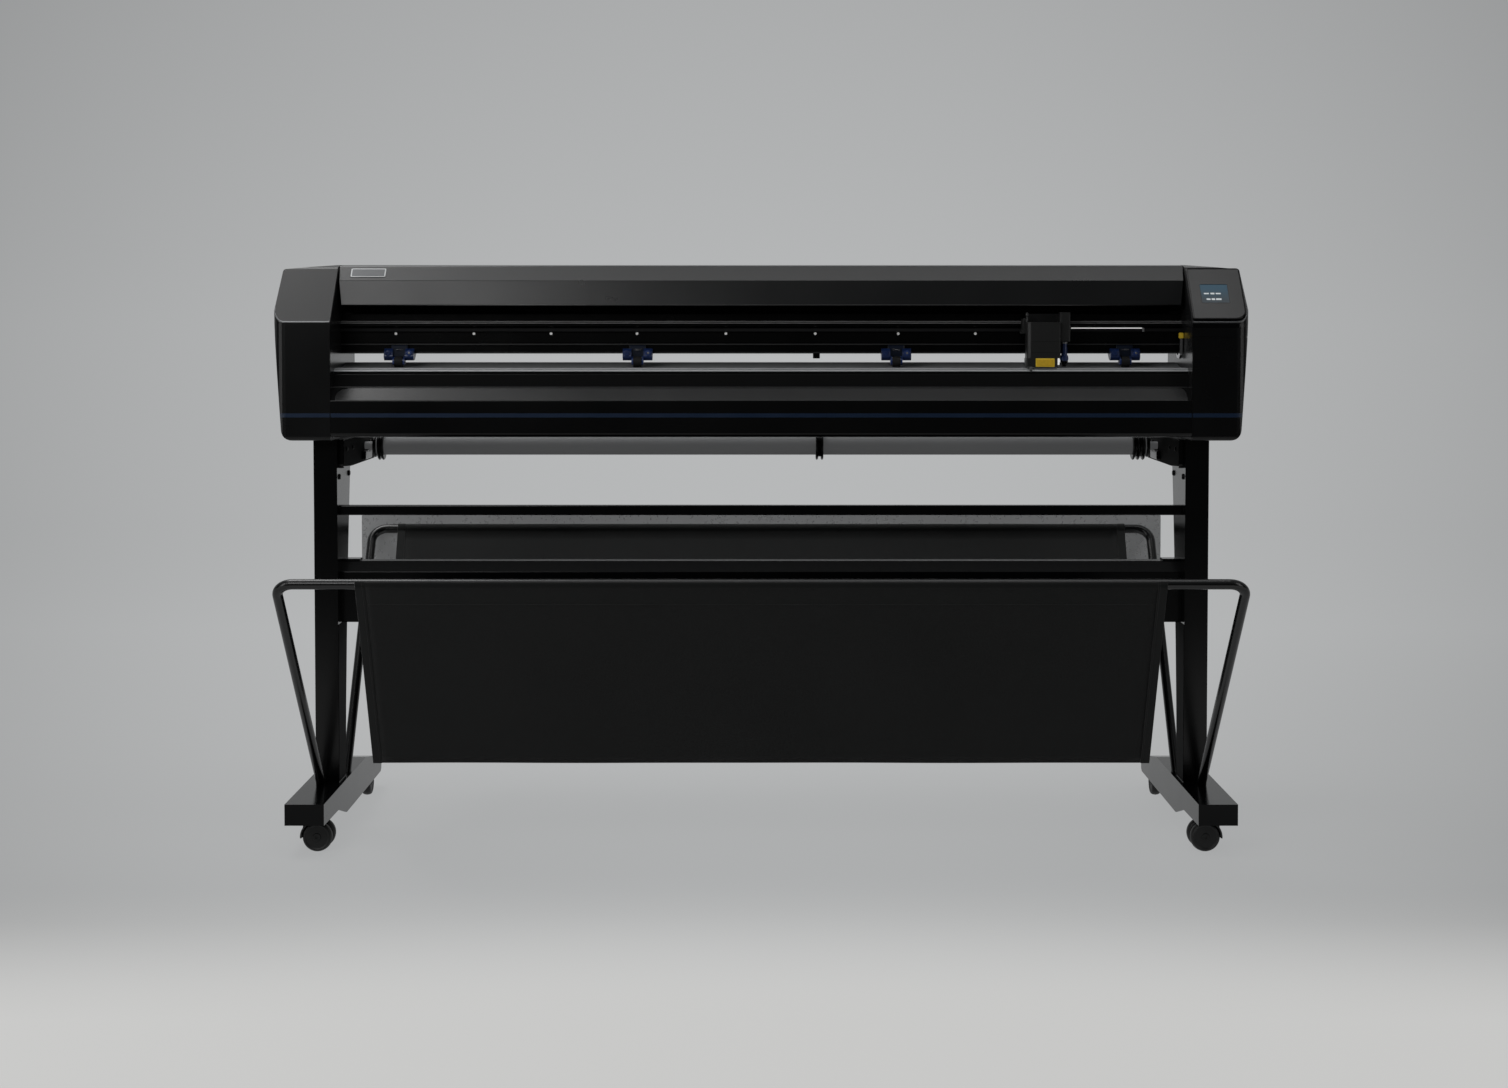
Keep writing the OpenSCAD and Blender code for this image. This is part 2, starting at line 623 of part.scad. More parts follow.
// Folded steel tray with two side plates that carry the beam, the drum and the platen
module chassis_tray() {
    t = sheet;
    tray_d = body_d + 37 + gap;
    rear_d = cap_back - 6;
    color([0.16, 0.16, 0.17]) difference() {
        union() {
            side(open_w - 2 * gap, [
                [tray_d, belly_z], [rear_d, belly_z], [rear_d, ridge_z - 14], [rear_d - t, ridge_z - 14],
                [rear_d - t, belly_z + t], [body_d + 56, belly_z + t], [body_d + 56, platen_z - 4.2],
                [body_d + 56 - t, platen_z - 4.2], [body_d + 56 - t, belly_z + t],
                [tray_d, belly_z + t]]);
            for (s = [-1, 1]) on(s) {
                side(t + gap, cap_outline(wall + gap), open_half + (t - gap) / 2);
                // Shelf for the pulley
                block(open_half + t - eps, pulley_x + 22, pulley_d - 22, pulley_d + 22,
                      belt_z - 18, belt_z - 14);
            }
            // The idler's pin stands on the left shelf
            rod_z(-pulley_x, pulley_d, belt_z - 15, belt_z + 7, 4);
        }
        for (s = [-1, 1]) on(s) {
            // Windows for the belt
            block(open_half - 1, open_half + t + 1, pulley_d - pulley_r - 4, pulley_d + pulley_r + 4,
                  belt_z - belt_w, belt_z + belt_w);
            rod_x(open_half - 1, open_half + t + 1, drum_d, drum_z, journal_r + fit);
            rod_x(open_half - 1, open_half + t + 1, lift_d, lift_z, lift_r + fit);
        }
        rod_z(pulley_x, pulley_d, belt_z - 19, belt_z - 13, 8);
    }
}

// ---- beam, platen and media drive ----

// The guide beam is an extrusion with a rail, a belt groove and a channel for the lifting shaft
module y_beam() {
    d0 = beam_d;
    z0 = beam_low;
    d1 = d0 + y_beam_l;
    z1 = z0 + y_beam_h;
    run_d = pulley_d + pulley_r;
    color([0.035, 0.035, 0.038]) difference() {
        side(open_w - 2 * gap, [
            [d0, z0], [d0, z0 + 16], [d0 - 3, z0 + 17.5], [d0 - 3, z0 + 20.5], [d0, z0 + 22],
            [d0, rail_z], [d0 - 3, rail_z], [d0 - rail_out, rail_z + 3],
            [d0 - rail_out, rail_z + rail_h - 3], [d0 - 3, rail_z + rail_h], [d0, rail_z + rail_h],
            [d0, z1 - 6], [d0 + 6, z1], [d1, z1], [d1, z0], [lift_d + lift_r + 4, z0],
            [lift_d + lift_r + 4, lift_z + lift_r + 3], [d0 + 3, lift_z + lift_r + 3], [d0 + 3, z0]]);
        // Channel of the belt's returning run
        side(open_w, [[run_d - 5, belt_z - belt_w], [run_d - 5, belt_z + belt_w],
                      [run_d + 5, belt_z + belt_w], [run_d + 5, belt_z - belt_w]]);
        // Hollow at the back of the extrusion
        side(open_w, rounded([[run_d + 10, z0 + 8, 3], [run_d + 10, z1 - 8, 3],
                              [d1 - 5, z1 - 8, 3], [d1 - 5, z0 + 8, 3]], 3));
    }
}

// Front platen with its nose and cutting groove, and the ridged rear platen behind the drum
module platen() {
    t = 4;
    slot = drum_r + 1;
    nose_d = body_d + 42;
    z = platen_z;
    rear_end = cap_back - 6 - sheet - gap;
    color([0.62, 0.63, 0.64]) {
        side(open_w - 2 * gap, rounded([
            [nose_d, z - 12], [nose_d, z - 4, 3], [nose_d + 8, z, 4], [cut_d - 3, z],
            [cut_d - 3, z - 1], [cut_d + 3, z - 1], [cut_d + 3, z], [drum_d - slot, z],
            [drum_d - slot, z - t], [nose_d + 8, z - t, 3], [nose_d + t, z - 8, 2],
            [nose_d + t, z - 12]], 4));
        side(open_w - 2 * gap, rounded([
            [drum_d + slot, z], [drum_d + slot + 20, z + 1, 30], [drum_d + slot + 60, ridge_z, 30],
            [rear_end - 34, ridge_z, 12], [rear_end, ridge_z - 12], [rear_end, ridge_z - 12 - t],
            [rear_end - 36, ridge_z - t, 10], [drum_d + slot + 62, ridge_z - t, 20],
            [drum_d + slot + 22, z + 1 - t, 20], [drum_d + slot, z - t]], 4));
    }
}

// Grit drum along the whole opening; its journals run in the side plates
module media_drum() {
    color([0.5, 0.5, 0.5]) {
        rod_x(-open_half + 6, open_half - 6, drum_d, drum_z, drum_r);
        rod_x(-open_half - sheet - 24, open_half + sheet + 6, drum_d, drum_z, journal_r);
    }
}

module drum_motor() {
    x0 = -open_half - sheet - 70;
    color([0.1, 0.1, 0.1]) difference() {
        union() {
            rod_x(x0, -open_half - sheet - 6, drum_d, drum_z, 28);
            // Standoffs to the side plate
            for (a = [45:90:315])
                rod_x(-open_half - sheet - 7, -open_half - sheet,
                      drum_d + 21 * cos(a), drum_z + 21 * sin(a), 3.5);
        }
        rod_x(x0 + 20, 0, drum_d, drum_z, journal_r + fit);
    }
}

module carriage_motor() {
    z1 = belt_z - 18;
    color([0.1, 0.1, 0.1]) difference() {
        union() {
            block(pulley_x - 21, pulley_x + 21, pulley_d - 21, pulley_d + 21, z1 - 56, z1);
            rod_z(pulley_x, pulley_d, z1 - eps, z1 + 3, 7.5);
        }
        rod_z(pulley_x, pulley_d, z1 - 30, z1 + 4, 4 + fit);
    }
}

// A flanged belt pulley standing on the belt's lower edge
module pulley_wheel(r, shaft)
    rotate_extrude() polygon([[shaft, -4.5], [r + 2, -4.5], [r + 2, -3.5], [r, -3.4],
        [r, belt_w + 0.4], [r + 2, belt_w + 0.5], [r + 2, belt_w + 1.5], [shaft, belt_w + 1.5]]);
module drive_pulley() {
    color([0.7, 0.7, 0.7]) translate([pulley_x, foot_y + pulley_d, belt_z - belt_w / 2]) {
        pulley_wheel(pulley_r - gap, 3.5);
        translate([0, 0, belt_w / 2 - 44]) cylinder(h = 48, r = 4);
    }
}
module idler_pulley()
    color([0.7, 0.7, 0.7]) translate([-pulley_x, foot_y + pulley_d, belt_z - belt_w / 2])
        pulley_wheel(pulley_r - gap, 4 + fit);

module drive_belt() {
    color([0.12, 0.12, 0.12]) difference() {
        plan(belt_z - belt_w / 2, belt_z + belt_w / 2, belt_loop(pulley_r + belt_t));
        plan(belt_z - belt_w, belt_z + belt_w, belt_loop(pulley_r));
    }
}
function belt_loop(r) = concat(
    [for (a = [-90:15:90]) [pulley_x + r * cos(a), pulley_d + r * sin(a)]],
    [for (a = [90:15:270]) [-pulley_x + r * cos(a), pulley_d + r * sin(a)]]);

// ---- pinch rollers ----

// The lifting shaft runs in the beam's channel, and its lever stands at the right-hand end
module lift_shaft()
    color([0.55, 0.55, 0.56]) rod_x(-open_half - sheet - 6, open_half + sheet + 6, lift_d, lift_z, lift_r);
lever_x = open_half - 5;
module pinch_lever() {
    color([0.6, 0.6, 0.62]) difference() {
        union() {
            rod_x(lever_x - 4, lever_x + 4, lift_d, lift_z, lift_r + 2.5);
            side(5, rounded([
                [lift_d - 6.4, lift_z + 3, 2], [lift_d - 7.4, beam_low - 2.5, 1],
                [beam_d - 8, beam_low - 2.5, 4], [beam_d - 18, beam_low + 4, 5],
                [beam_d - 24, beam_low + 40, 4],
                [beam_d - 34, beam_low + 43, 4], [beam_d - 30, beam_low - 2, 6],
                [beam_d - 18, beam_low - 10, 6], [lift_d - 5, beam_low - 8, 5],
                [lift_d + 6.4, lift_z - 3, 3]], 3), lever_x);
        }
        rod_x(lever_x - 10, lever_x + 10, lift_d, lift_z, lift_r);
    }
}

arm_w = pinch_w + 8;           // width of a pinch arm over its two cheeks
// The blue carrier hooks round the beam's lower lip and straddles the lifting shaft
module pinch_carrier(i) {
    x = pinch_x[i];
    half = carrier_w / 2;
    slot_half = arm_w / 2 + gap;
    color([0.09, 0.16, 0.42]) difference() {
        union() {
            for (s = [-1, 1])
                side(half - slot_half, rounded([
                    [beam_d - 22, beam_low + 4, 5], [beam_d - 27, beam_low - 6, 5],
                    [beam_d - 18, beam_low - 14, 6], [beam_d - 2, beam_low - 12, 4],
                    [lift_d + 6, lift_z - 10, 6], [lift_d + 8, lift_z + 5, 5],
                    [lift_d - 2, lift_z + 7.5, 3], [lift_d - 8.7, lift_z + 7.5, 0.6],
                    [lift_d - 8.7, beam_low - gap, 0.4], [beam_d - 3.5, beam_low - gap, 0.4],
                    [beam_d - 3.5, beam_low + 8, 2], [beam_d - 14, beam_low + 11, 4]], 3),
                    x + s * (half + slot_half) / 2);
            // Bridge between the two sides, in front of the beam
            block(x - slot_half - 1, x + slot_half + 1, beam_d - 12, beam_d - 4,
                  beam_low + 2, beam_low + 9);
        }
        rod_x(x - half - 1, x + half + 1, lift_d, lift_z, lift_r + fit);
    }
}
// The arm turns about the lifting shaft and holds the roller between two cheeks
module pinch_arm(i) {
    x = pinch_x[i];
    axis_d = drum_d - 1;
    cheek = 3.4;
    color([0.14, 0.24, 0.55]) difference() {
        union() {
            for (s = [-1, 1])
                side(cheek, rounded([
                    [axis_d - 7, pinch_z + 5, 4], [axis_d - 7, pinch_z - 7, 5],
                    [axis_d + 8, pinch_z - 6, 4], [lift_d + 4, lift_z - lift_r - 3, 5],
                    [lift_d + lift_r + 2, lift_z + lift_r + 1, 4], [lift_d - lift_r - 2, lift_z + lift_r, 4],
                    [lift_d - lift_r - 2.2, beam_low - 3, 3], [axis_d + 12, beam_low - 4, 4]], 3),
                    x + s * (arm_w - cheek) / 2);
            // Cross tie under the beam, behind the roller
            block(x - arm_w / 2 + 1, x + arm_w / 2 - 1, axis_d + pinch_r + 3, axis_d + pinch_r + 8,
                  pinch_z - 3, pinch_z + 4);
        }
        rod_x(x - arm_w, x + arm_w, lift_d, lift_z, lift_r + fit);
        rod_x(x - arm_w, x + arm_w, axis_d, pinch_z, 2.5 + fit);
    }
}
module pinch_roller(i) {
    axis_d = drum_d - 1;
    color([0.1, 0.1, 0.1]) {
        rod_x(pinch_x[i] - pinch_w / 2, pinch_x[i] + pinch_w / 2, axis_d, pinch_z, pinch_r);
        rod_x(pinch_x[i] - arm_w / 2 - gap / 2, pinch_x[i] + arm_w / 2 + gap / 2, axis_d, pinch_z, 2.5);
    }
}

// ---- cutting head ----

head_low = platen_z + 2.5;     // the head clears the platen and the media
// Saddle that runs on the beam's rail
module carriage_frame() {
    x0 = head_x - head_w / 2 + 4;
    x1 = tool_x + holder_r + 6;
    g = gap;
    color([0.12, 0.12, 0.125]) difference() {
        block(x0, x1, head_back, beam_d - g, rail_z - 14, rail_z + rail_h + 14);
        // Rail, with its running gap
        side(3 * head_w, [
            [beam_d + 1, rail_z - g], [beam_d - 3, rail_z - g], [beam_d - rail_out - g, rail_z + 3 - g],
            [beam_d - rail_out - g, rail_z + rail_h - 3 + g], [beam_d - 3, rail_z + rail_h + g],
            [beam_d + 1, rail_z + rail_h + g]], (x0 + x1) / 2);
        // Slot for the belt
        side(3 * head_w, [
            [beam_d + 1, belt_z - belt_w / 2 - 1], [beam_d + 1, rail_z], [beam_d - 7, rail_z],
            [beam_d - 7, belt_z - belt_w / 2 - 1]], (x0 + x1) / 2);
    }
}

// Moulded cover of the head, with the lower nose that carries the yellow tab
module head_cover() {
    x0 = head_x - head_w / 2;
    x1 = head_x + head_w / 2;
    d0 = cut_d - 25;
    d1 = head_back - gap;
    z1 = platen_z + 92;
    zn = platen_z + 20;
    color([0.07, 0.07, 0.072]) difference() {
        union() {
            plan(zn, z1, rounded([[x0, d1], [x0, d0 + 4, 5], [x0 + 7, d0, 4], [x1, d0, 3], [x1, d1]], 4));
            plan(head_low, zn + eps, rounded([[x0 - 2, d1 - 4, 2], [x0 - 2, d0 - 2, 3],
                [x1 - 6, d0 - 2, 3], [x1 - 6, d1 - 4, 2]], 3));
        }
        plan(head_low - 1, z1 - wall, [[x0 + wall, d1 + 1], [x0 + wall, d0 + wall + 2],
            [x1 - wall - 6, d0 + wall + 2], [x1 - wall - 6, d1 + 1]]);
    }
}

// Block that lowers the tool; it slides on the saddle's front
holder_top = platen_z + 112;
holder_low = platen_z + 53;
module tool_holder() {
    x0 = head_x + head_w / 2 + gap;
    color([0.05, 0.05, 0.052]) difference() {
        plan(holder_low, holder_top, rounded([
            [x0, cut_d - holder_r - 7, 2], [tool_x + holder_r + 5, cut_d - holder_r - 7, 3],
            [tool_x + holder_r + 5, head_back - gap], [x0, head_back - gap]], 3));
        rod_z(tool_x, cut_d, holder_low - 1, holder_low + 40, holder_r + fit);
    }
}
// Blade holder: knob, body, nozzle and blade tip on one axis
module blade_holder() {
    z = platen_z + 2.3;
    color([0.1, 0.22, 0.5]) translate([tool_x, foot_y + cut_d, 0]) rotate_extrude()
        polygon([[0, z], [0.6, z + 0.6], [0.8, z + 2], [3.2, z + 2], [4, z + 10], [holder_r + 1.5, z + 12],
            [holder_r + 2, z + 16], [holder_r + 2, z + 22], [holder_r, z + 24],
            [holder_r, holder_low + 38], [0, holder_low + 38]]);
}

// ---- controls and electrics ----

slope_a = atan2(slope_end_z - cap_front_z, slope_run);
// Places a child on the right cap's slope: x across, y up the slope, z out of it
module on_slope() translate([0, foot_y + body_d, cap_front_z]) rotate([slope_a, 0, 0]) children();
slope_len = (slope_end_z - cap_front_z) / sin(slope_a);
display_w = 56;
display_l = 49;
display_x = body_half - 63.5;
display_v = 72;

module control_panel() {
    x0 = cap_x + 4;
    x1 = body_half - 9;
    color([0.22, 0.225, 0.23]) on_slope() difference() {
        translate([0, 0, gap]) linear_extrude(4.5) polygon(rounded([
            [x0, 8, 2], [x1, 8, 20], [x1, slope_len - 10, 4], [x0, slope_len - 10, 2]]));
        translate([display_x - display_w / 2, display_v - display_l / 2, 3])
            cube([display_w, display_l, 10]);
    }
}
module display() {
    color([0.25, 0.4, 0.6]) on_slope() translate([0, 0, 3 + 0.02]) linear_extrude(1.4)
        polygon(rounded([for (c = [[-1, -1], [1, -1], [1, 1], [-1, 1]])
            [display_x + c[0] * (display_w / 2 - gap), display_v + c[1] * (display_l / 2 - gap), 2]], 3));
}

inlet_x = body_half - 66.5;
inlet_z = body_z + 58;
// Mains inlet with its three blades
module power_inlet() {
    color([0.03, 0.03, 0.03]) {
        difference() {
            union() {
                block(inlet_x - 24.6, inlet_x + 24.6, cap_back - 24, cap_back,
                      inlet_z - 13.6, inlet_z + 13.6);
                block(inlet_x - 30, inlet_x + 30, cap_back + 0.02, cap_back + 2, inlet_z - 17, inlet_z + 17);
            }
            block(inlet_x - 13, inlet_x + 13, cap_back - 18, cap_back + 3, inlet_z - 9, inlet_z + 9);
        }
        for (p = [[-7, -2], [0, 3], [7, -2]])
            block(inlet_x + p[0] - 1, inlet_x + p[0] + 1, cap_back - 18.1, cap_back - 4,
                  inlet_z + p[1] - 2.5, inlet_z + p[1] + 2.5);
    }
}

// Power supply and main board on standoffs, fixed to the right side plate
module electronics() {
    x0 = open_half + sheet;
    board_d = body_d + 24;
    board_z = body_z + 20;
    color([0.1, 0.3, 0.15]) {
        // Board with its standoffs
        block(x0 + 8, x0 + 9.6, board_d, board_d + 60, board_z, board_z + 130);
        for (d = [6, 54], z = [8, 122])
            rod_x(x0, x0 + 8 + eps, board_d + d, board_z + z, 3);
        for (z = [20:24:100])
            block(x0 + 9.6 - eps, x0 + 18, board_d + 10, board_d + 36, board_z + z, board_z + z + 10);
    }
    color([0.6, 0.6, 0.62])
        block(x0, x0 + 46, cap_back - 150, cap_back - 62, body_z + 14, body_z + 70);
}

color([0.12, 0.12, 0.125]) on(-1) foot();  // foot_left
color([0.12, 0.12, 0.125]) on(1) foot();  // foot_right
color([0.06, 0.06, 0.065]) on(-1) leg();  // leg_left
color([0.06, 0.06, 0.065]) on(1) leg();  // leg_right
cross_beam();
top_bar();
stand_bolts();
roll_brackets();
basket_front_loop();
basket_rear_loop();
basket_cloth();
rear_guard();
rear_wheel_mounts();
chassis_tray();
front_cover();
end_cap(-1);  // end_cap_left
end_cap(1);  // end_cap_right
top_cover();
rear_cover();
y_beam();
platen();
control_panel();
display();
power_inlet();
carriage_motor();
drum_motor();
electronics();
drive_belt();
caster_hood(-1);  // caster_hood_left
caster_hood(1);  // caster_hood_right
caster_wheels(-1);  // caster_wheels_left
caster_wheels(1);  // caster_wheels_right
rear_wheels(-1);  // rear_wheels_left
rear_wheels(1);  // rear_wheels_right
carriage_frame();
head_cover();
tool_holder();
blade_holder();
drive_pulley();
idler_pulley();
media_drum();
lift_shaft();
pinch_lever();
pinch_carrier(0);  // pinch_carrier_1
pinch_carrier(1);  // pinch_carrier_2
pinch_carrier(2);  // pinch_carrier_3
pinch_carrier(3);  // pinch_carrier_4
pinch_arm(0);  // pinch_arm_1
pinch_arm(1);  // pinch_arm_2
pinch_arm(2);  // pinch_arm_3
pinch_arm(3);  // pinch_arm_4
pinch_roller(0);  // pinch_roller_1
pinch_roller(1);  // pinch_roller_2
pinch_roller(2);  // pinch_roller_3
pinch_roller(3);  // pinch_roller_4
support_roller(0);  // support_roller_front
support_roller(1);  // support_roller_rear
media_flange(0);  // media_flange_left
media_flange(1);  // media_flange_centre
media_flange(2);  // media_flange_right
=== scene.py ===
"""Looks of a roll-fed vinyl cutter on a wheeled stand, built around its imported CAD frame."""
import math
from functools import partial

import bmesh
import bpy
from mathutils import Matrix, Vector
from mathutils.bvhtree import BVHTree


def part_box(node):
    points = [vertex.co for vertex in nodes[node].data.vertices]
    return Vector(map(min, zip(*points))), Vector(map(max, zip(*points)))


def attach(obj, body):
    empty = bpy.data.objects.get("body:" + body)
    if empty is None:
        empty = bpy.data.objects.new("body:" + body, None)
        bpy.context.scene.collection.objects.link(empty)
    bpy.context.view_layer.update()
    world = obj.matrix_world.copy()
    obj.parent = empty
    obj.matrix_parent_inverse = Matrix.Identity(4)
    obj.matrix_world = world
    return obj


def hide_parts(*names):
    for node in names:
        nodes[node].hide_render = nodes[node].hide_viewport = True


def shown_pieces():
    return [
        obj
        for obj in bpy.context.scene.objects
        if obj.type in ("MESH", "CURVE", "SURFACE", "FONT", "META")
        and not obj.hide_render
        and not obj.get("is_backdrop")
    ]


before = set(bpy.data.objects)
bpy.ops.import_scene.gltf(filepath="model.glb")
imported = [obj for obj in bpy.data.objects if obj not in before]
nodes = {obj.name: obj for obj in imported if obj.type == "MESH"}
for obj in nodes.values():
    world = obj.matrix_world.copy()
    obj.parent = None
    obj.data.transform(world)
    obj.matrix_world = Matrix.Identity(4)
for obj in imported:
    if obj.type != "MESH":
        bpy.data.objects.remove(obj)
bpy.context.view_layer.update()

scene = bpy.context.scene


def put(name, data):
    """A new object in the scene."""
    o = bpy.data.objects.new(name, data)
    scene.collection.objects.link(o)
    return o


# ---- image points, in pixels of the 1508 x 1088 photograph ----

W, H = 1508, 1088
POINTS = {
    "left": (272, None),
    "right": (1250, None),
    "top": (None, 266),
    "bottom": (None, 853),
    "badge": (368.5, 273),
    "display": (1213.8, 294.3),
    "tab": (1045.4, 363.5),
    "rail_screw_first": (396, 333.5),
    "rail_screw_last": (975, 333.5),
    "sensor": (816.7, 356),
    "strip": (1105, 329),
    "stripe": (None, 415),
    "lever_grip": (1181.1, 335.7),
}

# ---- camera ----

CAM_Y, CAM_Z = -4.6836, 1.053
CAM_PITCH = math.radians(2)
SENSOR = 36
LENS = 55.75
SHIFT_X, SHIFT_Y = -0.0048, -0.1009
cam_data = bpy.data.cameras.new("camera")
cam = put("camera", cam_data)
scene.camera = cam
cam_data.sensor_fit = "AUTO"
cam_data.sensor_width = SENSOR
cam_data.lens = LENS
cam_data.shift_x, cam_data.shift_y = SHIFT_X, SHIFT_Y
cam_data.clip_start, cam_data.clip_end = 0.1, 100
cam.location = (0, CAM_Y, CAM_Z)
cam.rotation_euler = (math.pi / 2 - CAM_PITCH, 0, 0)
bpy.context.view_layer.update()
LONG = max(W, H)


def view_ray(x, y):
    """Origin and direction of the camera's ray through image point x, y."""
    way = Vector((x - W / 2 + SHIFT_X * LONG, H / 2 - y + SHIFT_Y * LONG, -LONG * LENS / SENSOR))
    return cam.matrix_world.translation, (cam.matrix_world.to_3x3() @ way).normalized()


def to_image(p):
    """Image point of a place in the row frame."""
    q = cam.matrix_world.inverted() @ Vector(p)
    s = LONG * LENS / SENSOR / -q.z
    return W / 2 - SHIFT_X * LONG + q.x * s, H / 2 + SHIFT_Y * LONG - q.y * s


def tree_of(*names):
    """One BVH tree over several objects, given by name."""
    verts, faces = [], []
    for name in names:
        o = bpy.data.objects[name]
        base = len(verts)
        verts += [o.matrix_world @ v.co for v in o.data.vertices]
        faces += [[base + i for i in p.vertices] for p in o.data.polygons]
    return BVHTree.FromPolygons(verts, faces)


def cast(tree, start, way):
    """Where a ray from start along way meets a tree, and the normal there; None twice where it misses."""
    return tree.ray_cast(Vector(start), Vector(way))[:2]


def place(x, y, *names):
    """Where the ray through x, y meets the named pieces: (place, normal); on a miss, the place nearest the ray."""
    tree = tree_of(*names)
    origin, way = view_ray(x, y)
    hit, normal = cast(tree, origin, way)
    if hit is None:
        steps = [origin + way * (4 + 0.01 * i) for i in range(150)]
        hit, normal, _, _ = min((tree.find_nearest(s) for s in steps), key=lambda f: f[3])
    return hit, normal


# ---- shader helpers ----


def add(t, kind, **values):
    """A shader node with some inputs set; an underscore in a name stands for a space."""
    n = t.nodes.new("ShaderNode" + kind)
    for key, value in values.items():
        n.inputs[key.replace("_", " ")].default_value = value
    return n


def find(t, kind):
    """The tree's first node of a type."""
    return next(n for n in t.nodes if n.type == kind)


def feed(t, socket, value):
    """Gives an input its value: another node's socket, or a plain number or colour."""
    if isinstance(value, bpy.types.NodeSocket):
        t.links.new(value, socket)
    else:
        socket.default_value = value


def math_node(t, operation, *values):
    """A math node whose inputs are sockets or numbers; gives its output socket."""
    n = add(t, "Math")
    n.operation = operation
    for socket, value in zip(n.inputs, values):
        feed(t, socket, value)
    return n.outputs[0]


def ramp_node(t, value, x0, x1, y0=0.0, y1=1.0, kind="LINEAR"):
    """Maps a socket from x0..x1 to y0..y1, held at the ends."""
    n = add(t, "MapRange", From_Min=x0, From_Max=x1, To_Min=y0, To_Max=y1)
    n.interpolation_type = kind
    t.links.new(value, n.inputs["Value"])
    return n.outputs[0]


def mix_node(t, factor, a, b, kind="MIX"):
    """A mix of two colours, each a socket or a plain colour; gives its output socket."""
    n = add(t, "Mix")
    n.data_type = "RGBA"
    n.blend_type = kind
    for key, value in (("Factor", factor), ("A", a), ("B", b)):
        feed(t, n.inputs[key], value)
    return n.outputs["Result"]


def split_node(t, vector):
    """The x, y and z sockets of a vector socket."""
    n = add(t, "SeparateXYZ")
    t.links.new(vector, n.inputs["Vector"])
    return n.outputs


# ---- materials ----


def fresh(name):
    """An empty node material and its tree."""
    mat = bpy.data.materials.new(name)
    mat.use_nodes = True
    mat.node_tree.nodes.clear()
    return mat, mat.node_tree


ROUGH_DRIFT = 0.05      # how far the roughness drifts either way
GRAIN_HEIGHT = 0.0004


def material(name, color, rough, metallic=0.0, spec=0.5, vary=0.12, vary_scale=7.0, grain=0.15, grain_scale=900.0,
             stretch=(1, 1, 1), sheen=0.0, glow=0.0):
    """A procedural finish: colour and roughness drift over the surface, and a fine grain lifts it."""
    mat, t = fresh(name)
    out = add(t, "OutputMaterial")
    bsdf = add(t, "BsdfPrincipled", Metallic=metallic, Specular_IOR_Level=spec, Emission_Color=(*color, 1),
               Emission_Strength=glow, Sheen_Weight=sheen, Sheen_Roughness=0.5)
    coord = add(t, "TexCoord")
    mapping = add(t, "Mapping", Scale=stretch)
    drift = add(t, "TexNoise", Scale=vary_scale, Detail=4)
    fine = add(t, "TexNoise", Scale=grain_scale, Detail=2)
    bump = add(t, "Bump", Strength=grain, Distance=GRAIN_HEIGHT)
    shade = mix_node(t, drift.outputs["Fac"], (*[c * (1 - vary) for c in color], 1),
                     (*[min(1, c * (1 + vary)) for c in color], 1))
    polish = ramp_node(t, drift.outputs["Fac"], 0, 1, max(0.03, rough - ROUGH_DRIFT), min(1, rough + ROUGH_DRIFT))
    for source, socket in ((coord.outputs["Object"], mapping.inputs["Vector"]),
                           (coord.outputs["Object"], drift.inputs["Vector"]),
                           (mapping.outputs["Vector"], fine.inputs["Vector"]),
                           (fine.outputs["Fac"], bump.inputs["Height"]),
                           (shade, bsdf.inputs["Base Color"]),
                           (polish, bsdf.inputs["Roughness"]),
                           (bump.outputs["Normal"], bsdf.inputs["Normal"]),
                           (bsdf.outputs["BSDF"], out.inputs["Surface"])):
        t.links.new(source, socket)
    return mat


WEAVE_PITCH, WEAVE_HEIGHT = 0.0011, 0.0002


def woven(name, color):
    """Plain weave over the UV map, which is in metres."""
    mat = material(name, color, 0.85, spec=0.2, vary_scale=5, sheen=0.25)
    t = mat.node_tree
    uv = add(t, "UVMap")
    uv.uv_map = "UVMap"
    u, v, _ = split_node(t, uv.outputs["UV"])
    weave = math_node(t, "MULTIPLY", *[
        math_node(t, "SINE", math_node(t, "MULTIPLY_ADD", along, 2 * math.pi / WEAVE_PITCH, phase))
        for along, phase in ((u, 0.0), (v, math.pi / 2))])
    bump = find(t, "BUMP")
    t.links.new(weave, bump.inputs["Height"])
    bump.inputs["Strength"].default_value = 0.5
    bump.inputs["Distance"].default_value = WEAVE_HEIGHT
    base = find(t, "BSDF_PRINCIPLED").inputs["Base Color"]
    t.links.new(mix_node(t, 0.35, base.links[0].from_socket, ramp_node(t, weave, -1, 1), "MULTIPLY"), base)
    return mat


def speckled(name, color, dark, opacity):
    """See-through grey sheet with scattered dark specks and a cloudy ground."""
    mat = material(name, color, 0.5, spec=0.35, vary=0.22, vary_scale=18, grain=0.3, grain_scale=300)
    t = mat.node_tree
    bsdf = find(t, "BSDF_PRINCIPLED")
    bsdf.inputs["Alpha"].default_value = opacity
    specks = add(t, "TexNoise", Scale=130, Detail=3)
    t.links.new(find(t, "TEX_COORD").outputs["Object"], specks.inputs["Vector"])
    base = bsdf.inputs["Base Color"]
    speck = ramp_node(t, specks.outputs["Fac"], 0.58, 0.68)
    t.links.new(mix_node(t, speck, base.links[0].from_socket, (*dark, 1)), base)
    return mat


def screen(name, top, low, z0, z1):
    """Display glass whose colour falls from top to low between two heights."""
    mat = material(name, top, 0.25, spec=0.2, grain=0.02, glow=0.15)
    t = mat.node_tree
    height = split_node(t, find(t, "TEX_COORD").outputs["Object"])["Z"]
    shade = mix_node(t, ramp_node(t, height, z0, z1), (*low, 1), (*top, 1))
    for key in ("Base Color", "Emission Color"):
        t.links.new(shade, find(t, "BSDF_PRINCIPLED").inputs[key])
    return mat


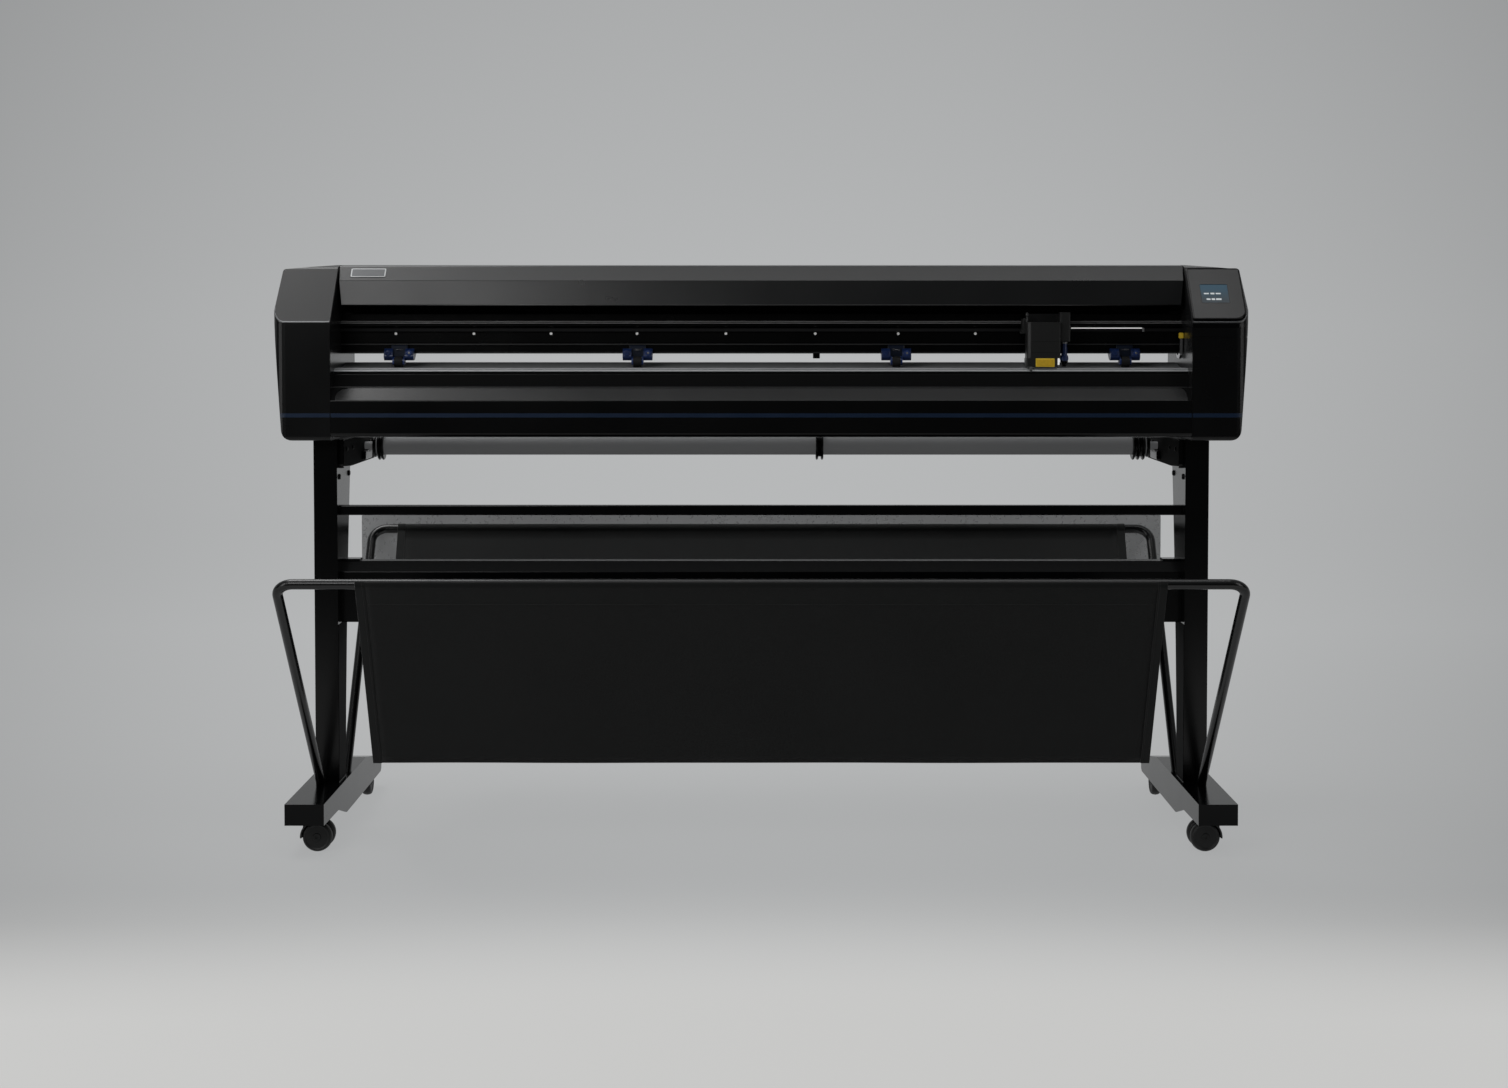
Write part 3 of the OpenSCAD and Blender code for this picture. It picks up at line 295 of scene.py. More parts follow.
display_low, display_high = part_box("display")
PLASTIC = {"grain": 0.08, "grain_scale": 1400}
ALONG_X = {"stretch": (0.02, 1, 1), "grain": 0.06, "grain_scale": 1600}     # drawn or brushed along x
MATS = {
    "shell": material("shell_plastic", (0.0020, 0.0022, 0.0024), 0.28, spec=0.34, **PLASTIC),
    "cover": material("cover_plastic", (0.0017, 0.0019, 0.0021), 0.23, spec=0.36, **PLASTIC),
    "lid": material("lid_plastic", (0.0046, 0.0050, 0.0054), 0.29, spec=0.52, **PLASTIC),
    "panel": material("panel_plastic", (0.010, 0.0102, 0.0105), 0.34, grain=0.06, grain_scale=1400),
    "foot": material("foot_coat", (0.0013, 0.0015, 0.0018), 0.17, spec=0.16, grain=0.12, grain_scale=700),
    "leg": material("leg_coat", (0.0012, 0.0014, 0.0016), 0.19, spec=0.30, grain=0.12, grain_scale=700),
    "tube": material("tube_coat", (0.0034, 0.0037, 0.0040), 0.24, grain=0.08),
    "bolt": material("black_oxide", (0.006, 0.006, 0.006), 0.3, metallic=0.6, spec=0.4),
    "cloth": woven("basket_fabric", (0.0056, 0.0064, 0.0062)),
    "cloth_edge": woven("basket_hem", (0.0060, 0.0068, 0.0066)),
    "thread": material("black_thread", (0.012, 0.0125, 0.012), 0.7, sheen=0.2, grain=0.4, grain_scale=1500),
    "guard": speckled("guard_sheet", (0.33, 0.335, 0.34), (0.14, 0.143, 0.145), 0.58),
    "caster": material("caster_nylon", (0.0045, 0.0047, 0.0045), 0.36, spec=0.45),
    "tyre": material("wheel_rubber", (0.0050, 0.0052, 0.0050), 0.5, spec=0.4, grain=0.3, grain_scale=500),
    "tray": material("tray_coat", (0.010, 0.0102, 0.0105), 0.24, grain=0.1),
    "beam": material("black_anodised", (0.0010, 0.0011, 0.0012), 0.26, spec=0.22, **ALONG_X),
    # Lighter lines along the beam: painted highlights on its edges
    "beam_line": material("anodised_painted_highlight", (0.028, 0.0285, 0.029), 0.35, metallic=0.2, **ALONG_X),
    # Pale strip on the rail's upper edge: a painted highlight
    "rail": material("rail_painted_highlight", (0.45, 0.45, 0.45), 0.35, metallic=0.2, **ALONG_X),
    "platen": material("satin_anodised", (0.40, 0.41, 0.42), 0.42, metallic=0.25, grain=0.12,
                       stretch=(0.02, 1, 1), grain_scale=1500),
    "drum": material("grit_steel", (0.20, 0.20, 0.205), 0.6, metallic=0.7, grain=0.7, grain_scale=1300),
    "steel": material("ground_steel", (0.55, 0.55, 0.56), 0.25, metallic=1.0, stretch=(0.05, 1, 1)),
    # The support rollers glow a little: painted light that lifts them out of the shade under the body
    "roller": material("roller_tube_painted_glow", (0.23, 0.234, 0.238), 0.65, spec=0.3, glow=0.21, grain=0.1,
                       stretch=(0.05, 1, 1)),
    "pulley": material("turned_aluminium", (0.6, 0.6, 0.61), 0.3, metallic=1.0, grain=0.2),
    "blue": material("blue_plastic", (0.010, 0.026, 0.10), 0.32, grain=0.08),
    "blue_light": material("blue_arm_plastic", (0.02, 0.045, 0.17), 0.32, grain=0.08),
    # A darker copy of the blue: painted shade for the pinch units' middles
    "blue_dark": material("blue_black_plastic", (0.0035, 0.0085, 0.022), 0.32, grain=0.08),
    "rubber": material("pinch_rubber", (0.006, 0.006, 0.006), 0.7, spec=0.3, grain=0.4, grain_scale=600),
    "belt": material("belt_rubber", (0.0055, 0.0055, 0.006), 0.7, spec=0.2, grain=0.3, grain_scale=600),
    "board": material("solder_mask", (0.02, 0.09, 0.04), 0.35, vary=0.3, vary_scale=60),
    "motor": material("motor_case", (0.012, 0.012, 0.012), 0.4, metallic=0.4),
    "head": material("head_plastic", (0.0085, 0.0088, 0.0086), 0.42, grain=0.18, grain_scale=1100),
    # Dull black for the blade's nozzle, the lines on the head, the slots and vents; also painted shade on the
    # platen nose, shelf ends and inner sides of legs and brackets
    "shadow": material("dull_black_and_painted_shade", (0.0020, 0.0021, 0.0022), 0.8, spec=0.1, grain=0.2),
    "gloss_black": material("gloss_black", (0.0016, 0.0017, 0.0018), 0.16, spec=0.3, grain=0.02),
    "yellow": material("yellow_tab", (0.95, 0.62, 0.035), 0.45, vary=0.14, vary_scale=90),
    "yellow_dark": material("yellow_tab_inset", (0.80, 0.50, 0.024), 0.5, vary=0.2, vary_scale=160),
    "stripe": material("stripe_blue", (0.0045, 0.017, 0.046), 0.34, vary=0.1, vary_scale=20),
    "plate_rim": material("plate_rim", (0.29, 0.295, 0.30), 0.34, metallic=0.75, grain=0.12),
    "plate_face": material("plate_face", (0.075, 0.077, 0.080), 0.34, metallic=0.6, grain=0.12),
    # Pale bead along the caps' slope edges: a painted highlight
    "rim": material("rim_painted_highlight", (0.11, 0.113, 0.116), 0.28, metallic=0.5, grain=0.04),
    # The glow is a painted glint on the rail screws' heads
    "screw": material("screw_painted_glint", (0.92, 0.92, 0.90), 0.4, vary=0.05, glow=0.12),
    # The glow is painted light on the pale belt strip and on the block at the head's side
    "white": material("white_painted_glow", (0.80, 0.80, 0.79), 0.35, vary=0.04, glow=0.75),
    "tile": material("display_tile", (0.62, 0.66, 0.68), 0.35, vary=0.04, glow=0.25),
    "grey_steel": material("grey_steel", (0.34, 0.345, 0.35), 0.32, metallic=0.5, grain=0.1),
    "screen": screen("screen_glass", (0.026, 0.076, 0.118), (0.040, 0.056, 0.068),
                     display_low.z + 0.006, display_high.z - 0.008),
}

# The CAD nodes of each material: every word is the start of their names
NODE_MATS = {
    "foot": "foot",
    "leg": "leg cross_beam top_bar roll_brackets rear_wheel_mounts",
    "bolt": "stand_bolts",
    "tube": "basket_front basket_rear",
    "cloth": "basket_cloth",
    "guard": "rear_guard",
    "caster": "caster_hood",
    "tyre": "caster_wheels rear_wheels",
    "tray": "chassis_tray carriage_frame",
    "cover": "front_cover",
    "shell": "end_cap rear_cover power_inlet media_flange",
    "head": "head_cover tool_holder",
    "lid": "top_cover",
    "panel": "control_panel",
    "screen": "display",
    "beam": "y_beam",
    "platen": "platen",
    "drum": "media_drum",
    "steel": "lift_shaft pinch_lever",
    "roller": "support_roller",
    "pulley": "drive_pulley idler_pulley",
    "blue": "blade_holder pinch_carrier",
    "blue_light": "pinch_arm",
    "rubber": "pinch_roller",
    "belt": "drive_belt",
    "board": "electronics",
    "motor": "carriage_motor drum_motor",
}
for key, starts in NODE_MATS.items():
    for name, node in nodes.items():
        if name.startswith(tuple(starts.split())):
            node.data.materials.clear()
            node.data.materials.append(MATS[key])

# ---- mesh helpers ----


def mesh_piece(name, verts, faces, mat, body, slot, smooth=False):
    """A piece from plain vertices and faces, riding on a CAD body."""
    me = bpy.data.meshes.new(name)
    me.from_pydata([tuple(v) for v in verts], [], faces)
    me.validate()
    bm = bmesh.new()
    bm.from_mesh(me)
    bmesh.ops.remove_doubles(bm, verts=bm.verts, dist=1e-6)
    bmesh.ops.recalc_face_normals(bm, faces=bm.faces)
    bm.to_mesh(me)
    bm.free()
    me.polygons.foreach_set("use_smooth", [smooth] * len(me.polygons))
    me.materials.append(MATS[mat])
    o = put(name, me)
    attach(o, body)
    return o


def rounded_outline(w, h, r, n=5):
    """Points of a rounded rectangle about the origin, anticlockwise."""
    pts = []
    for sx, sy, a0 in ((1, -1, -90), (1, 1, 0), (-1, 1, 90), (-1, -1, 180)):
        for i in range(n + 1):
            a = math.radians(a0 + 90 * i / n)
            pts.append((sx * (w / 2 - r) + r * math.cos(a), sy * (h / 2 - r) + r * math.sin(a)))
    return pts


def stack(rings, loop=False):
    """Vertices and faces lofted through rings of equal length, with the ends capped or joined in a loop."""
    n, m = len(rings[0]), len(rings)
    verts = [v for ring in rings for v in ring]
    faces = [[k * n + i, k * n + (i + 1) % n, (k + 1) % m * n + (i + 1) % n, (k + 1) % m * n + i]
             for k in range(m if loop else m - 1) for i in range(n)]
    if not loop:
        faces += [list(range(n))[::-1], [(m - 1) * n + i for i in range(n)]]
    return verts, faces


def loft(name, rings, mat, body, slot, loop=False, smooth=False):
    """A piece lofted through rings."""
    return mesh_piece(name, *stack(rings, loop), mat, body, slot, smooth)


def disc_form(at, axis, profile, steps=20):
    """Vertices and faces of a turned form: profile is (radius, height) along axis from the point at."""
    at, axis = Vector(at), Vector(axis).normalized()
    side = axis.orthogonal().normalized()
    other = axis.cross(side)
    return stack([[at + axis * z + (side * math.cos(a) + other * math.sin(a)) * max(r, 1e-5)
                   for a in (2 * math.pi * i / steps for i in range(steps))] for r, z in profile])


def turned(name, at, axis, profile, mat, body, slot, steps=24):
    """A turned piece."""
    return mesh_piece(name, *disc_form(at, axis, profile, steps), mat, body, slot)


def block(name, low, high, mat, body, slot, bevel=0.0006):
    """A box with bevelled edges between two corners."""
    (x0, y0, z0), (x1, y1, z1) = low, high
    rings = []
    for z, inset in ((z0, bevel), (z0 + bevel, 0), (z1 - bevel, 0), (z1, bevel)):
        outline = rounded_outline(x1 - x0 - 2 * inset, y1 - y0 - 2 * inset, bevel, 2)
        rings.append([((x0 + x1) / 2 + x, (y0 + y1) / 2 + y, z) for x, y in outline])
    return loft(name, rings, mat, body, slot)


PLATE_EDGE = 0.0003


def plate(name, at, w, h, t, r, up, mat, body, slot):
    """A rounded plate with a bevelled rim: its back lies at the point at, its width along x."""
    right, up = Vector((1, 0, 0)), Vector(up).normalized()
    out = right.cross(up)
    rings = [[at + right * x + up * y + out * z
              for x, y in rounded_outline(w - inset, h - inset, max(r - inset / 2, 0.0001))]
             for z, inset in ((0, 0), (t - PLATE_EDGE, 0), (t, 2 * PLATE_EDGE))]
    return loft(name, rings, mat, body, slot)


def oval(ru, rv, n):
    """Points of an ellipse about the origin."""
    return [(ru * math.cos(a), rv * math.sin(a)) for a in (2 * math.pi * i / n for i in range(n))]


def ways(path):
    """The direction of a path at each of its points."""
    return [(path[min(i + 1, len(path) - 1)] - path[max(i - 1, 0)]).normalized() for i in range(len(path))]


def sweep(name, path, section, mat, body, slot):
    """A closed section carried along a path: section is a list of (side, up) about each path point."""
    rings = []
    for p, way in zip(path, ways(path)):
        up = Vector((0, 0, 1)) if abs(way.z) < 0.9 else Vector((0, 1, 0))
        side = way.cross(up).normalized()
        up = side.cross(way)
        rings.append([p + side * u + up * v for u, v in section])
    return loft(name, rings, mat, body, slot, smooth=True)


def joined(name, forms, mat, body, slot):
    """One piece from several closed forms, each given as (vertices, faces)."""
    verts, faces = [], []
    for v, f in forms:
        faces += [[len(verts) + i for i in face] for face in f]
        verts += [tuple(p) for p in v]
    return mesh_piece(name, verts, faces, mat, body, slot)


def smooth_by_angle(o, degrees):
    """Shades an object smooth, apart from its sharp edges."""
    o.data.shade_smooth()
    o.data.set_sharp_from_angle(angle=math.radians(degrees))


# ---- basket cloth ----

FOOT_Y = -0.21875       # the feet's front ends; depths in the source count from here
TUBE_R = 0.0095
CLOTH_T = 0.0012
HUG_R = TUBE_R + CLOTH_T * 0.6          # the cloth's middle where it goes round a bar
front_low, front_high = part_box("basket_front_loop")
rear_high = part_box("basket_rear_loop")[1]
BAR_F = Vector((0, front_low.y + TUBE_R, front_high.z - TUBE_R))
BAR_R = Vector((0, rear_high.y - TUBE_R, rear_high.z - TUBE_R))
FOLD = Vector((0, FOOT_Y + 0.044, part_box("basket_cloth")[0].z))
HALF_BAR, HALF_FOLD, HALF_REAR = 0.737, 0.753, 0.799        # half widths at the front bar, fold and rear bar
SAG, FOLD_LIFT = 0.060, 0.002           # of the rear panel, and its rise just off the fold
ACROSS = 48                             # faces across the cloth
WAVES = ((0.0016, 9.1, 2.3, 0.0), (0.0010, 17.0, -5.0, 1.0))        # depth, pace along x and down, phase


def wrap(bar, start, turn, steps=8):
    """Points (y, z) round a bar, from an angle through a turn, in degrees from straight back."""
    return [(bar.y + HUG_R * math.cos(a), bar.z + HUG_R * math.sin(a))
            for a in (math.radians(start + turn * i / steps) for i in range(steps + 1))]


def cloth_path():
    """Side line of the cloth, from its front sleeve round the fold to its rear sleeve."""
    line = wrap(BAR_F, 150, 66)
    y0, z0 = line[-1]
    line += [(y0 + (FOLD.y - y0) * t, z0 + (FOLD.z - z0) * t) for t in (i / 24 for i in range(1, 25))]
    y1, z1 = BAR_R.y - HUG_R * 0.9, BAR_R.z - HUG_R * 0.45
    for t in (i / 30 for i in range(1, 31)):
        sag = SAG * math.sin(math.pi * t) * t
        line.append((FOLD.y + (y1 - FOLD.y) * t, FOLD.z + (z1 - FOLD.z) * t - sag + FOLD_LIFT * min(1, 8 * t)))
    line += wrap(BAR_R, 206, -196)[1:]
    return [Vector((0, y, z)) for y, z in line]


def cloth_half(y):
    """Half of the cloth's width at the depth y."""
    front, rear = (max(0.0, min(1.0, (y - a) / (b - a))) for a, b in ((BAR_F.y, FOLD.y), (FOLD.y, BAR_R.y)))
    return HALF_BAR + (HALF_FOLD - HALF_BAR) * front + (HALF_REAR - HALF_FOLD) * rear


def build_cloth():
    """The cloth with slow waves in its panels; gives its length along the side line and its area too."""
    line = cloth_path()
    run = [0.0]
    for a, b in zip(line, line[1:]):
        run.append(run[-1] + (b - a).length)
    total = run[-1]
    verts, uvs = [], []
    for p, s in zip(line, run):
        half = cloth_half(p.y)
        for i in range(ACROSS + 1):
            x = half * (2 * i / ACROSS - 1)
            wave = sum(depth * math.sin(kx * x + ks * s + phase) for depth, kx, ks, phase in WAVES)
            verts.append((x, p.y + wave * math.sin(math.pi * s / total), p.z))
            uvs.append((x, s))
    n = ACROSS + 1
    faces = [[k * n + i, k * n + i + 1, (k + 1) * n + i + 1, (k + 1) * n + i]
             for k in range(len(line) - 1) for i in range(ACROSS)]
    me = bpy.data.meshes.new("cloth")
    me.from_pydata(verts, [], faces)
    layer = me.uv_layers.new(name="UVMap")
    for loop in me.loops:
        layer.data[loop.index].uv = uvs[loop.vertex_index]
    me.shade_smooth()
    me.materials.append(MATS["cloth"])
    o = put("cloth", me)
    solid = o.modifiers.new("thickness", "SOLIDIFY")
    solid.thickness = CLOTH_T
    solid.offset = 0
    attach(o, "stand")
    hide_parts("basket_cloth")
    return o, total, sum(p.area for p in me.polygons)


def cloth_frames():
    """Each place on the cloth's side line with its direction and the normal of its outer face."""
    line = cloth_path()
    return [(p, way, Vector((0, way.z, -way.y))) for p, way in zip(line, ways(line))]


HEM_W, HEM_T = 0.016, 0.0013


def build_hem(name, side):
    """The doubled edge of the cloth on one side."""
    section = ((-HEM_W, -HEM_T), (0.0006, -HEM_T), (0.0011, 0), (0.0006, HEM_T), (-HEM_W, HEM_T),
               (-HEM_W - 0.0003, 0))
    rings = [[Vector((side * (cloth_half(p.y) + dx), p.y, p.z)) + out * h for dx, h in section]
             for p, _, out in cloth_frames()]
    hem = loft(name, rings, "cloth_edge", "stand", "cloth")
    smooth_by_angle(hem, 50)
    return hem


STITCH, STITCH_STEP = 0.0030, 0.0046
HEM_SEAM = 0.0125                       # from the cloth's edge to the stitches of its hem
SLEEVE_SEAMS = (10, -12)                # places on the side line with a seam across, under each bar


def stitch_form(at, way, out):
    """One thread stitch along way on the cloth's face."""
    side = way.cross(out)
    return stack([[at + way * (STITCH * t) + side * u + out * v for u, v in
                   ((-0.00035, 0), (0.00035, 0), (0.0002, 0.0004), (-0.0002, 0.0004))] for t in (-0.5, 0.5)])


def build_stitches():
    """Thread stitches along both hems and along the seam under each bar."""
    forms = []
    frames = cloth_frames()
    for side in (-1, 1):
        left_over = 0.0
        for (p, _, _), (q, _, _) in zip(frames, frames[1:]):
            along, length = (q - p).normalized(), (q - p).length
            normal = Vector((0, along.z, -along.y))
            t = left_over
            while t < length:
                at = p + along * t
                edge = side * (cloth_half(at.y) - HEM_SEAM)
                forms.append(stitch_form(Vector((edge, at.y, at.z)) + normal * CLOTH_T, along, normal))
                t += STITCH_STEP
            left_over = t - length
    for p, _, out in (frames[i] for i in SLEEVE_SEAMS):
        n = int(2 * (cloth_half(p.y) - 0.02) / STITCH_STEP)
        forms += [stitch_form(Vector(((i - n / 2) * STITCH_STEP, p.y, p.z)) + out * 2 * CLOTH_T,
                              Vector((1, 0, 0)), out) for i in range(n)]
    return joined("cloth_stitches", forms, "thread", "stand", "cloth")


cloth, cloth_len, cloth_area = build_cloth()
hems = [build_hem("cloth_hem_left", -1), build_hem("cloth_hem_right", 1), build_stitches()]

# ---- small parts and trim ----

SIDES = (("left", -1), ("right", 1))
SHELL = ("stand", "black_plastic")      # body of what the shell carries
LID = ("stand", "lid_plastic")
BOLTS = ("stand", "steel_bolt")
OPEN_HALF = 0.855                       # half of the opening between the end caps
TRIM_HALF = OPEN_HALF - 0.0005          # trim across the opening stops short of the caps
BEAM_Y = FOOT_Y + 0.292                 # front face of the guide beam
LID_Y = FOOT_Y + 0.240                  # lower front edge of the lid
cap_low, cap_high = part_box("end_cap_right")
CORNER = 0.030                          # radius that covers the caps' front corners
CORNER_X, CORNER_Y = cap_high.x - CORNER, cap_low.y + CORNER
BACKWARD, FORWARD = (0, 1, 0), (0, -1, 0)


def band(name, rays, heights, proud, mat, node):
    """A thin band on a shell part, where rays, given as (x, y, way), meet it at its two heights."""
    tree = tree_of(node)
    rings = []
    for x, y, way in rays:
        (low, n0), (high, n1) = (cast(tree, (x, y, z), way) for z in heights)
        if low and high:
            rings.append([low - n0 * 0.0003, low + n0 * proud, high + n1 * proud, high - n1 * 0.0003])
    return loft(name, rings, mat, *SHELL)


def corner_rays(s, angles):
    """Rays in to a cap's rounded front corner, at angles in degrees from straight ahead."""
    return [(s * (CORNER_X + math.sin(a)), CORNER_Y - math.cos(a), (-s * math.sin(a), math.cos(a), 0))
            for a in map(math.radians, angles)]


STRIPE = (0.8405, 0.8487)       # heights of its lower and upper edge
band("stripe_cover", [(x, -1, BACKWARD) for x in (-0.8542, -0.4, 0, 0.4, 0.8542)], STRIPE, 0.0003, "stripe",
     "front_cover")
for side, s in SIDES:
    band("stripe_cap_" + side,
         [(s * x, -1, BACKWARD) for x in (OPEN_HALF + 0.001, 0.88, 0.91, CORNER_X)]
         + corner_rays(s, [7.5 * i for i in range(1, 12)])
         + [(s * 1.5, y, (-s, 0, 0)) for y in (CORNER_Y, CORNER_Y + 0.1, cap_high.y - 0.04)],
         STRIPE, 0.0003, "stripe", "end_cap_" + side)

# Blank plate on the lid
BADGE_W, BADGE_H = 0.0705, 0.0235
at, n = place(*POINTS["badge"], "top_cover")
up = Vector((0, n.z, -n.y)) * (-1 if n.y > 0 else 1)
plate("badge_rim", at, BADGE_W, BADGE_H, 0.0012, 0.0025, up, "plate_rim", *LID)
plate("badge_face", at + n * 0.001, BADGE_W - 0.0050, BADGE_H - 0.0045, 0.0006, 0.0015, up, "plate_face", *LID)

# Bead along the lid's lower edge
sweep("lid_bead", [Vector((x, LID_Y + 0.0006, 1.0633)) for x in (-0.8446, -0.3, 0.3, 0.8446)],
      oval(0.0016, 0.0013, 10), "lid", *LID)

# Rail screws, nearly flush so that the carriage clears them; their heads glow a little, a painted glint
SCREW_X = (-0.744, -0.585, -0.428, -0.253, -0.072, 0.110, 0.279, 0.436, 0.599)
SCREW_Z = 1.0056
SCREW_HEAD = [(0.0028, -0.0003), (0.0028, 0.0001), (0.0024, 0.00024), (0.0011, 0.00024), (0.0009, 0.00008)]
joined("rail_screws", [disc_form((x, BEAM_Y + 0.00001, SCREW_Z), FORWARD, SCREW_HEAD) for x in SCREW_X],
       "screw", *BOLTS)

# Sheet sensor under the middle of the beam, with its eye
block("sheet_sensor", (0.106, BEAM_Y + 0.022, 0.9545), (0.120, BEAM_Y + 0.034, 0.9652), "shell", *SHELL)
block("sheet_sensor_eye", (0.1095, BEAM_Y + 0.0216, 0.9560), (0.1165, BEAM_Y + 0.023, 0.9590), "gloss_black",
      *SHELL, 0.0003)

# Pale strip along the belt beside the parked head, with the clip at its end; the strip glows, which is painted
# light
STRIP_X0, STRIP_X1, CLIP_X1 = 0.630, 0.7745, 0.7790
STRIP_BACK = FOOT_Y + 0.28595
block("belt_strip", (STRIP_X0, STRIP_BACK - 0.0006, 1.0115), (STRIP_X1, STRIP_BACK, 1.0176), "white", "stand",
      "belt_rubber", 0.0002)
block("belt_strip_clip", (STRIP_X1, STRIP_BACK - 0.00075, 1.0096), (CLIP_X1, STRIP_BACK, 1.0172), "grey_steel",
      "stand", "belt_rubber", 0.0003)

# Yellow grip on the pinch lever
lever_low, lever_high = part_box("pinch_lever")
block("lever_grip", (lever_low.x - 0.0003, lever_low.y - 0.0012, lever_high.z - 0.0105),
      (lever_high.x + 0.0003, lever_low.y + 0.0118, lever_high.z + 0.0012), "yellow", "lift", "shaft_steel", 0.0014)


def skin(name, names, heights, proud, mat, slot):
    """A thin skin across the opening, over the front of pieces that run along x."""
    tree = tree_of(*names)
    outer, inner = [], []
    for z in heights:
        hit, n = cast(tree, (-TRIM_HALF, -1, z), BACKWARD)
        outer.append(hit.yz + n.yz * proud)
        inner.append(hit.yz - n.yz * 0.0003)
    rings = [[(x, *p) for p in outer + inner[::-1]] for x in (-TRIM_HALF, TRIM_HALF)]
    return loft(name, rings, mat, "stand", slot)


# Painted shade: a dull black strip over the nose between the shelf and the platen. Painted highlights: the rail's
# bright edge and lighter lines on the beam
skin("platen_nose_shade", ("front_cover", "platen"), (0.9010, 0.9060, 0.9120, 0.9180, 0.9240, 0.9256, 0.9300, 0.9345),
     0.0004, "shadow", "black_plastic")
skin("rail_painted_highlight", ("y_beam",), (1.0266, 1.0274, 1.0302, 1.0310), 0.00015, "rail", "beam_alu")
for i, (z0, z1) in enumerate(((0.9822, 0.9852), (0.9655, 0.9682))):
    skin("beam_line_%d" % i, ("y_beam",), (z0, z0 + 0.0004, z1 - 0.0004, z1), 0.00015, "beam_line", "beam_alu")

LINER_T = 0.0006


def liner(name, node, x_face, x_inside, heights, inset):
    """A thin dark liner on the inner side of an upright plate of the stand, within its outline: painted shade that
    keeps that side dark.
    """
    tree = tree_of(node)
    front, back = [], []
    for z in heights:
        a, b = (cast(tree, (x_inside, y, z), way)[0] for y, way in ((-2, BACKWARD), (2, FORWARD)))
        if a and b:
            front.append((a.y + inset, z))
            back.append((b.y - inset, z))
    outline = front + back[::-1]
    rings = [[(x, y, z) for y, z in outline] for x in (x_face, x_face - math.copysign(LINER_T, x_face))]
    return loft(name, rings, "shadow", "stand", "leg_coat")


LEG_FACE, BRACKET_FACE = 0.8505, 0.8405     # inner sides of the legs and of the roll brackets
LINER_DEEP = 0.0015                         # where the rays that find the outlines run, inside the plates
for side, s in SIDES:
    liner("leg_side_shade_" + side, "leg_" + side, s * LEG_FACE, s * (LEG_FACE + LINER_DEEP),
          [0.104 + 0.0198 * k for k in range(17)], 0.0015)
    liner("bracket_side_shade_" + side, "roll_brackets", s * BRACKET_FACE, s * (BRACKET_FACE + LINER_DEEP),
          [0.7345 + 0.0047 * k for k in range(13)], 0.0012)

# ---- control panel ----

panel_low, panel_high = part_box("control_panel")
SLOPE_RUN, SLOPE_RISE = 0.096, 0.111
SLOPE_A = math.atan2(SLOPE_RISE, SLOPE_RUN)
SLOPE_LEN = math.hypot(SLOPE_RUN, SLOPE_RISE)
SLOPE_UP = Vector((0, math.cos(SLOPE_A), math.sin(SLOPE_A)))
SLOPE_OUT = Vector((0, -math.sin(SLOPE_A), math.cos(SLOPE_A)))


def on_slope(x, v, height=0.0):
    """A place on the caps' front slope: v up it from its lower edge, lifted by height."""
    return Vector((x, FOOT_Y + 0.163, 1.029)) + SLOPE_UP * v + SLOPE_OUT * height


def panel_ring(grow, height):
    """The panel's outline on the cap's slope, grown outwards and lifted."""
    x0, x1, v0, v1 = panel_low.x, panel_high.x, 0.008, SLOPE_LEN - 0.010
    pts = []
    for cx, cv, r, a0 in ((x0, v0, 0.002, 180), (x1, v0, 0.020, 270), (x1, v1, 0.004, 0), (x0, v1, 0.002, 90)):
        mx, mv = (cx + r if cx == x0 else cx - r), (cv + r if cv == v0 else cv - r)
        for i in range(8):
            a = math.radians(a0 + 90 * i / 7)
            pts.append(on_slope(mx + (r + grow) * math.cos(a), mv + (r + grow) * math.sin(a), height))
    return pts


def slope_reach(v):
    """How far out in x the right cap's slope reaches at the distance v up it."""
    return cast(tree_of("end_cap_right"), on_slope(1.5, v, -0.0006), (-1, 0, 0))[0].x


# Pale rim along the slope's lower edge and up its outer side, thinner as it rises: a painted highlight on the
# rounded edge
RIM_V, RIM_W, RIM_END_W = 0.0012, 0.0021, 0.0009
for side, s, top_v in (("left", -1, 0.042), ("right", 1, 0.136)):
    run = [(OPEN_HALF + 0.0012, RIM_V), (0.89, RIM_V), (slope_reach(RIM_V) - 0.003, RIM_V)]
    v = 0.0022
    while v < top_v:
        run.append((slope_reach(v) - 0.0013, v))
        v += 0.0022 + 0.12 * v
    path = [on_slope(s * x, v) for x, v in run]
    rings = []
    for i, (at, way) in enumerate(zip(path, ways(path))):
        across = way.cross(SLOPE_OUT)
        w = max(RIM_END_W, RIM_W - 0.00015 * max(0, i - 6))
        rings.append([at + across * u * w + SLOPE_OUT * h for u, h in
                      ((-1, -0.0002), (1, -0.0002), (0.8, 0.0005), (0, 0.0009), (-0.8, 0.0005))])
    smooth_by_angle(loft("slope_highlight_rim_" + side, rings, "rim", *SHELL), 60)


loft("panel_frame", [panel_ring(g, h) for g, h in (
    (0.0002, 0.0004), (0.0002, 0.0050), (0.0008, 0.0054), (0.0024, 0.0052), (0.0031, 0.0044), (0.0033, 0.0004))],
     "gloss_black", *SHELL, loop=True)

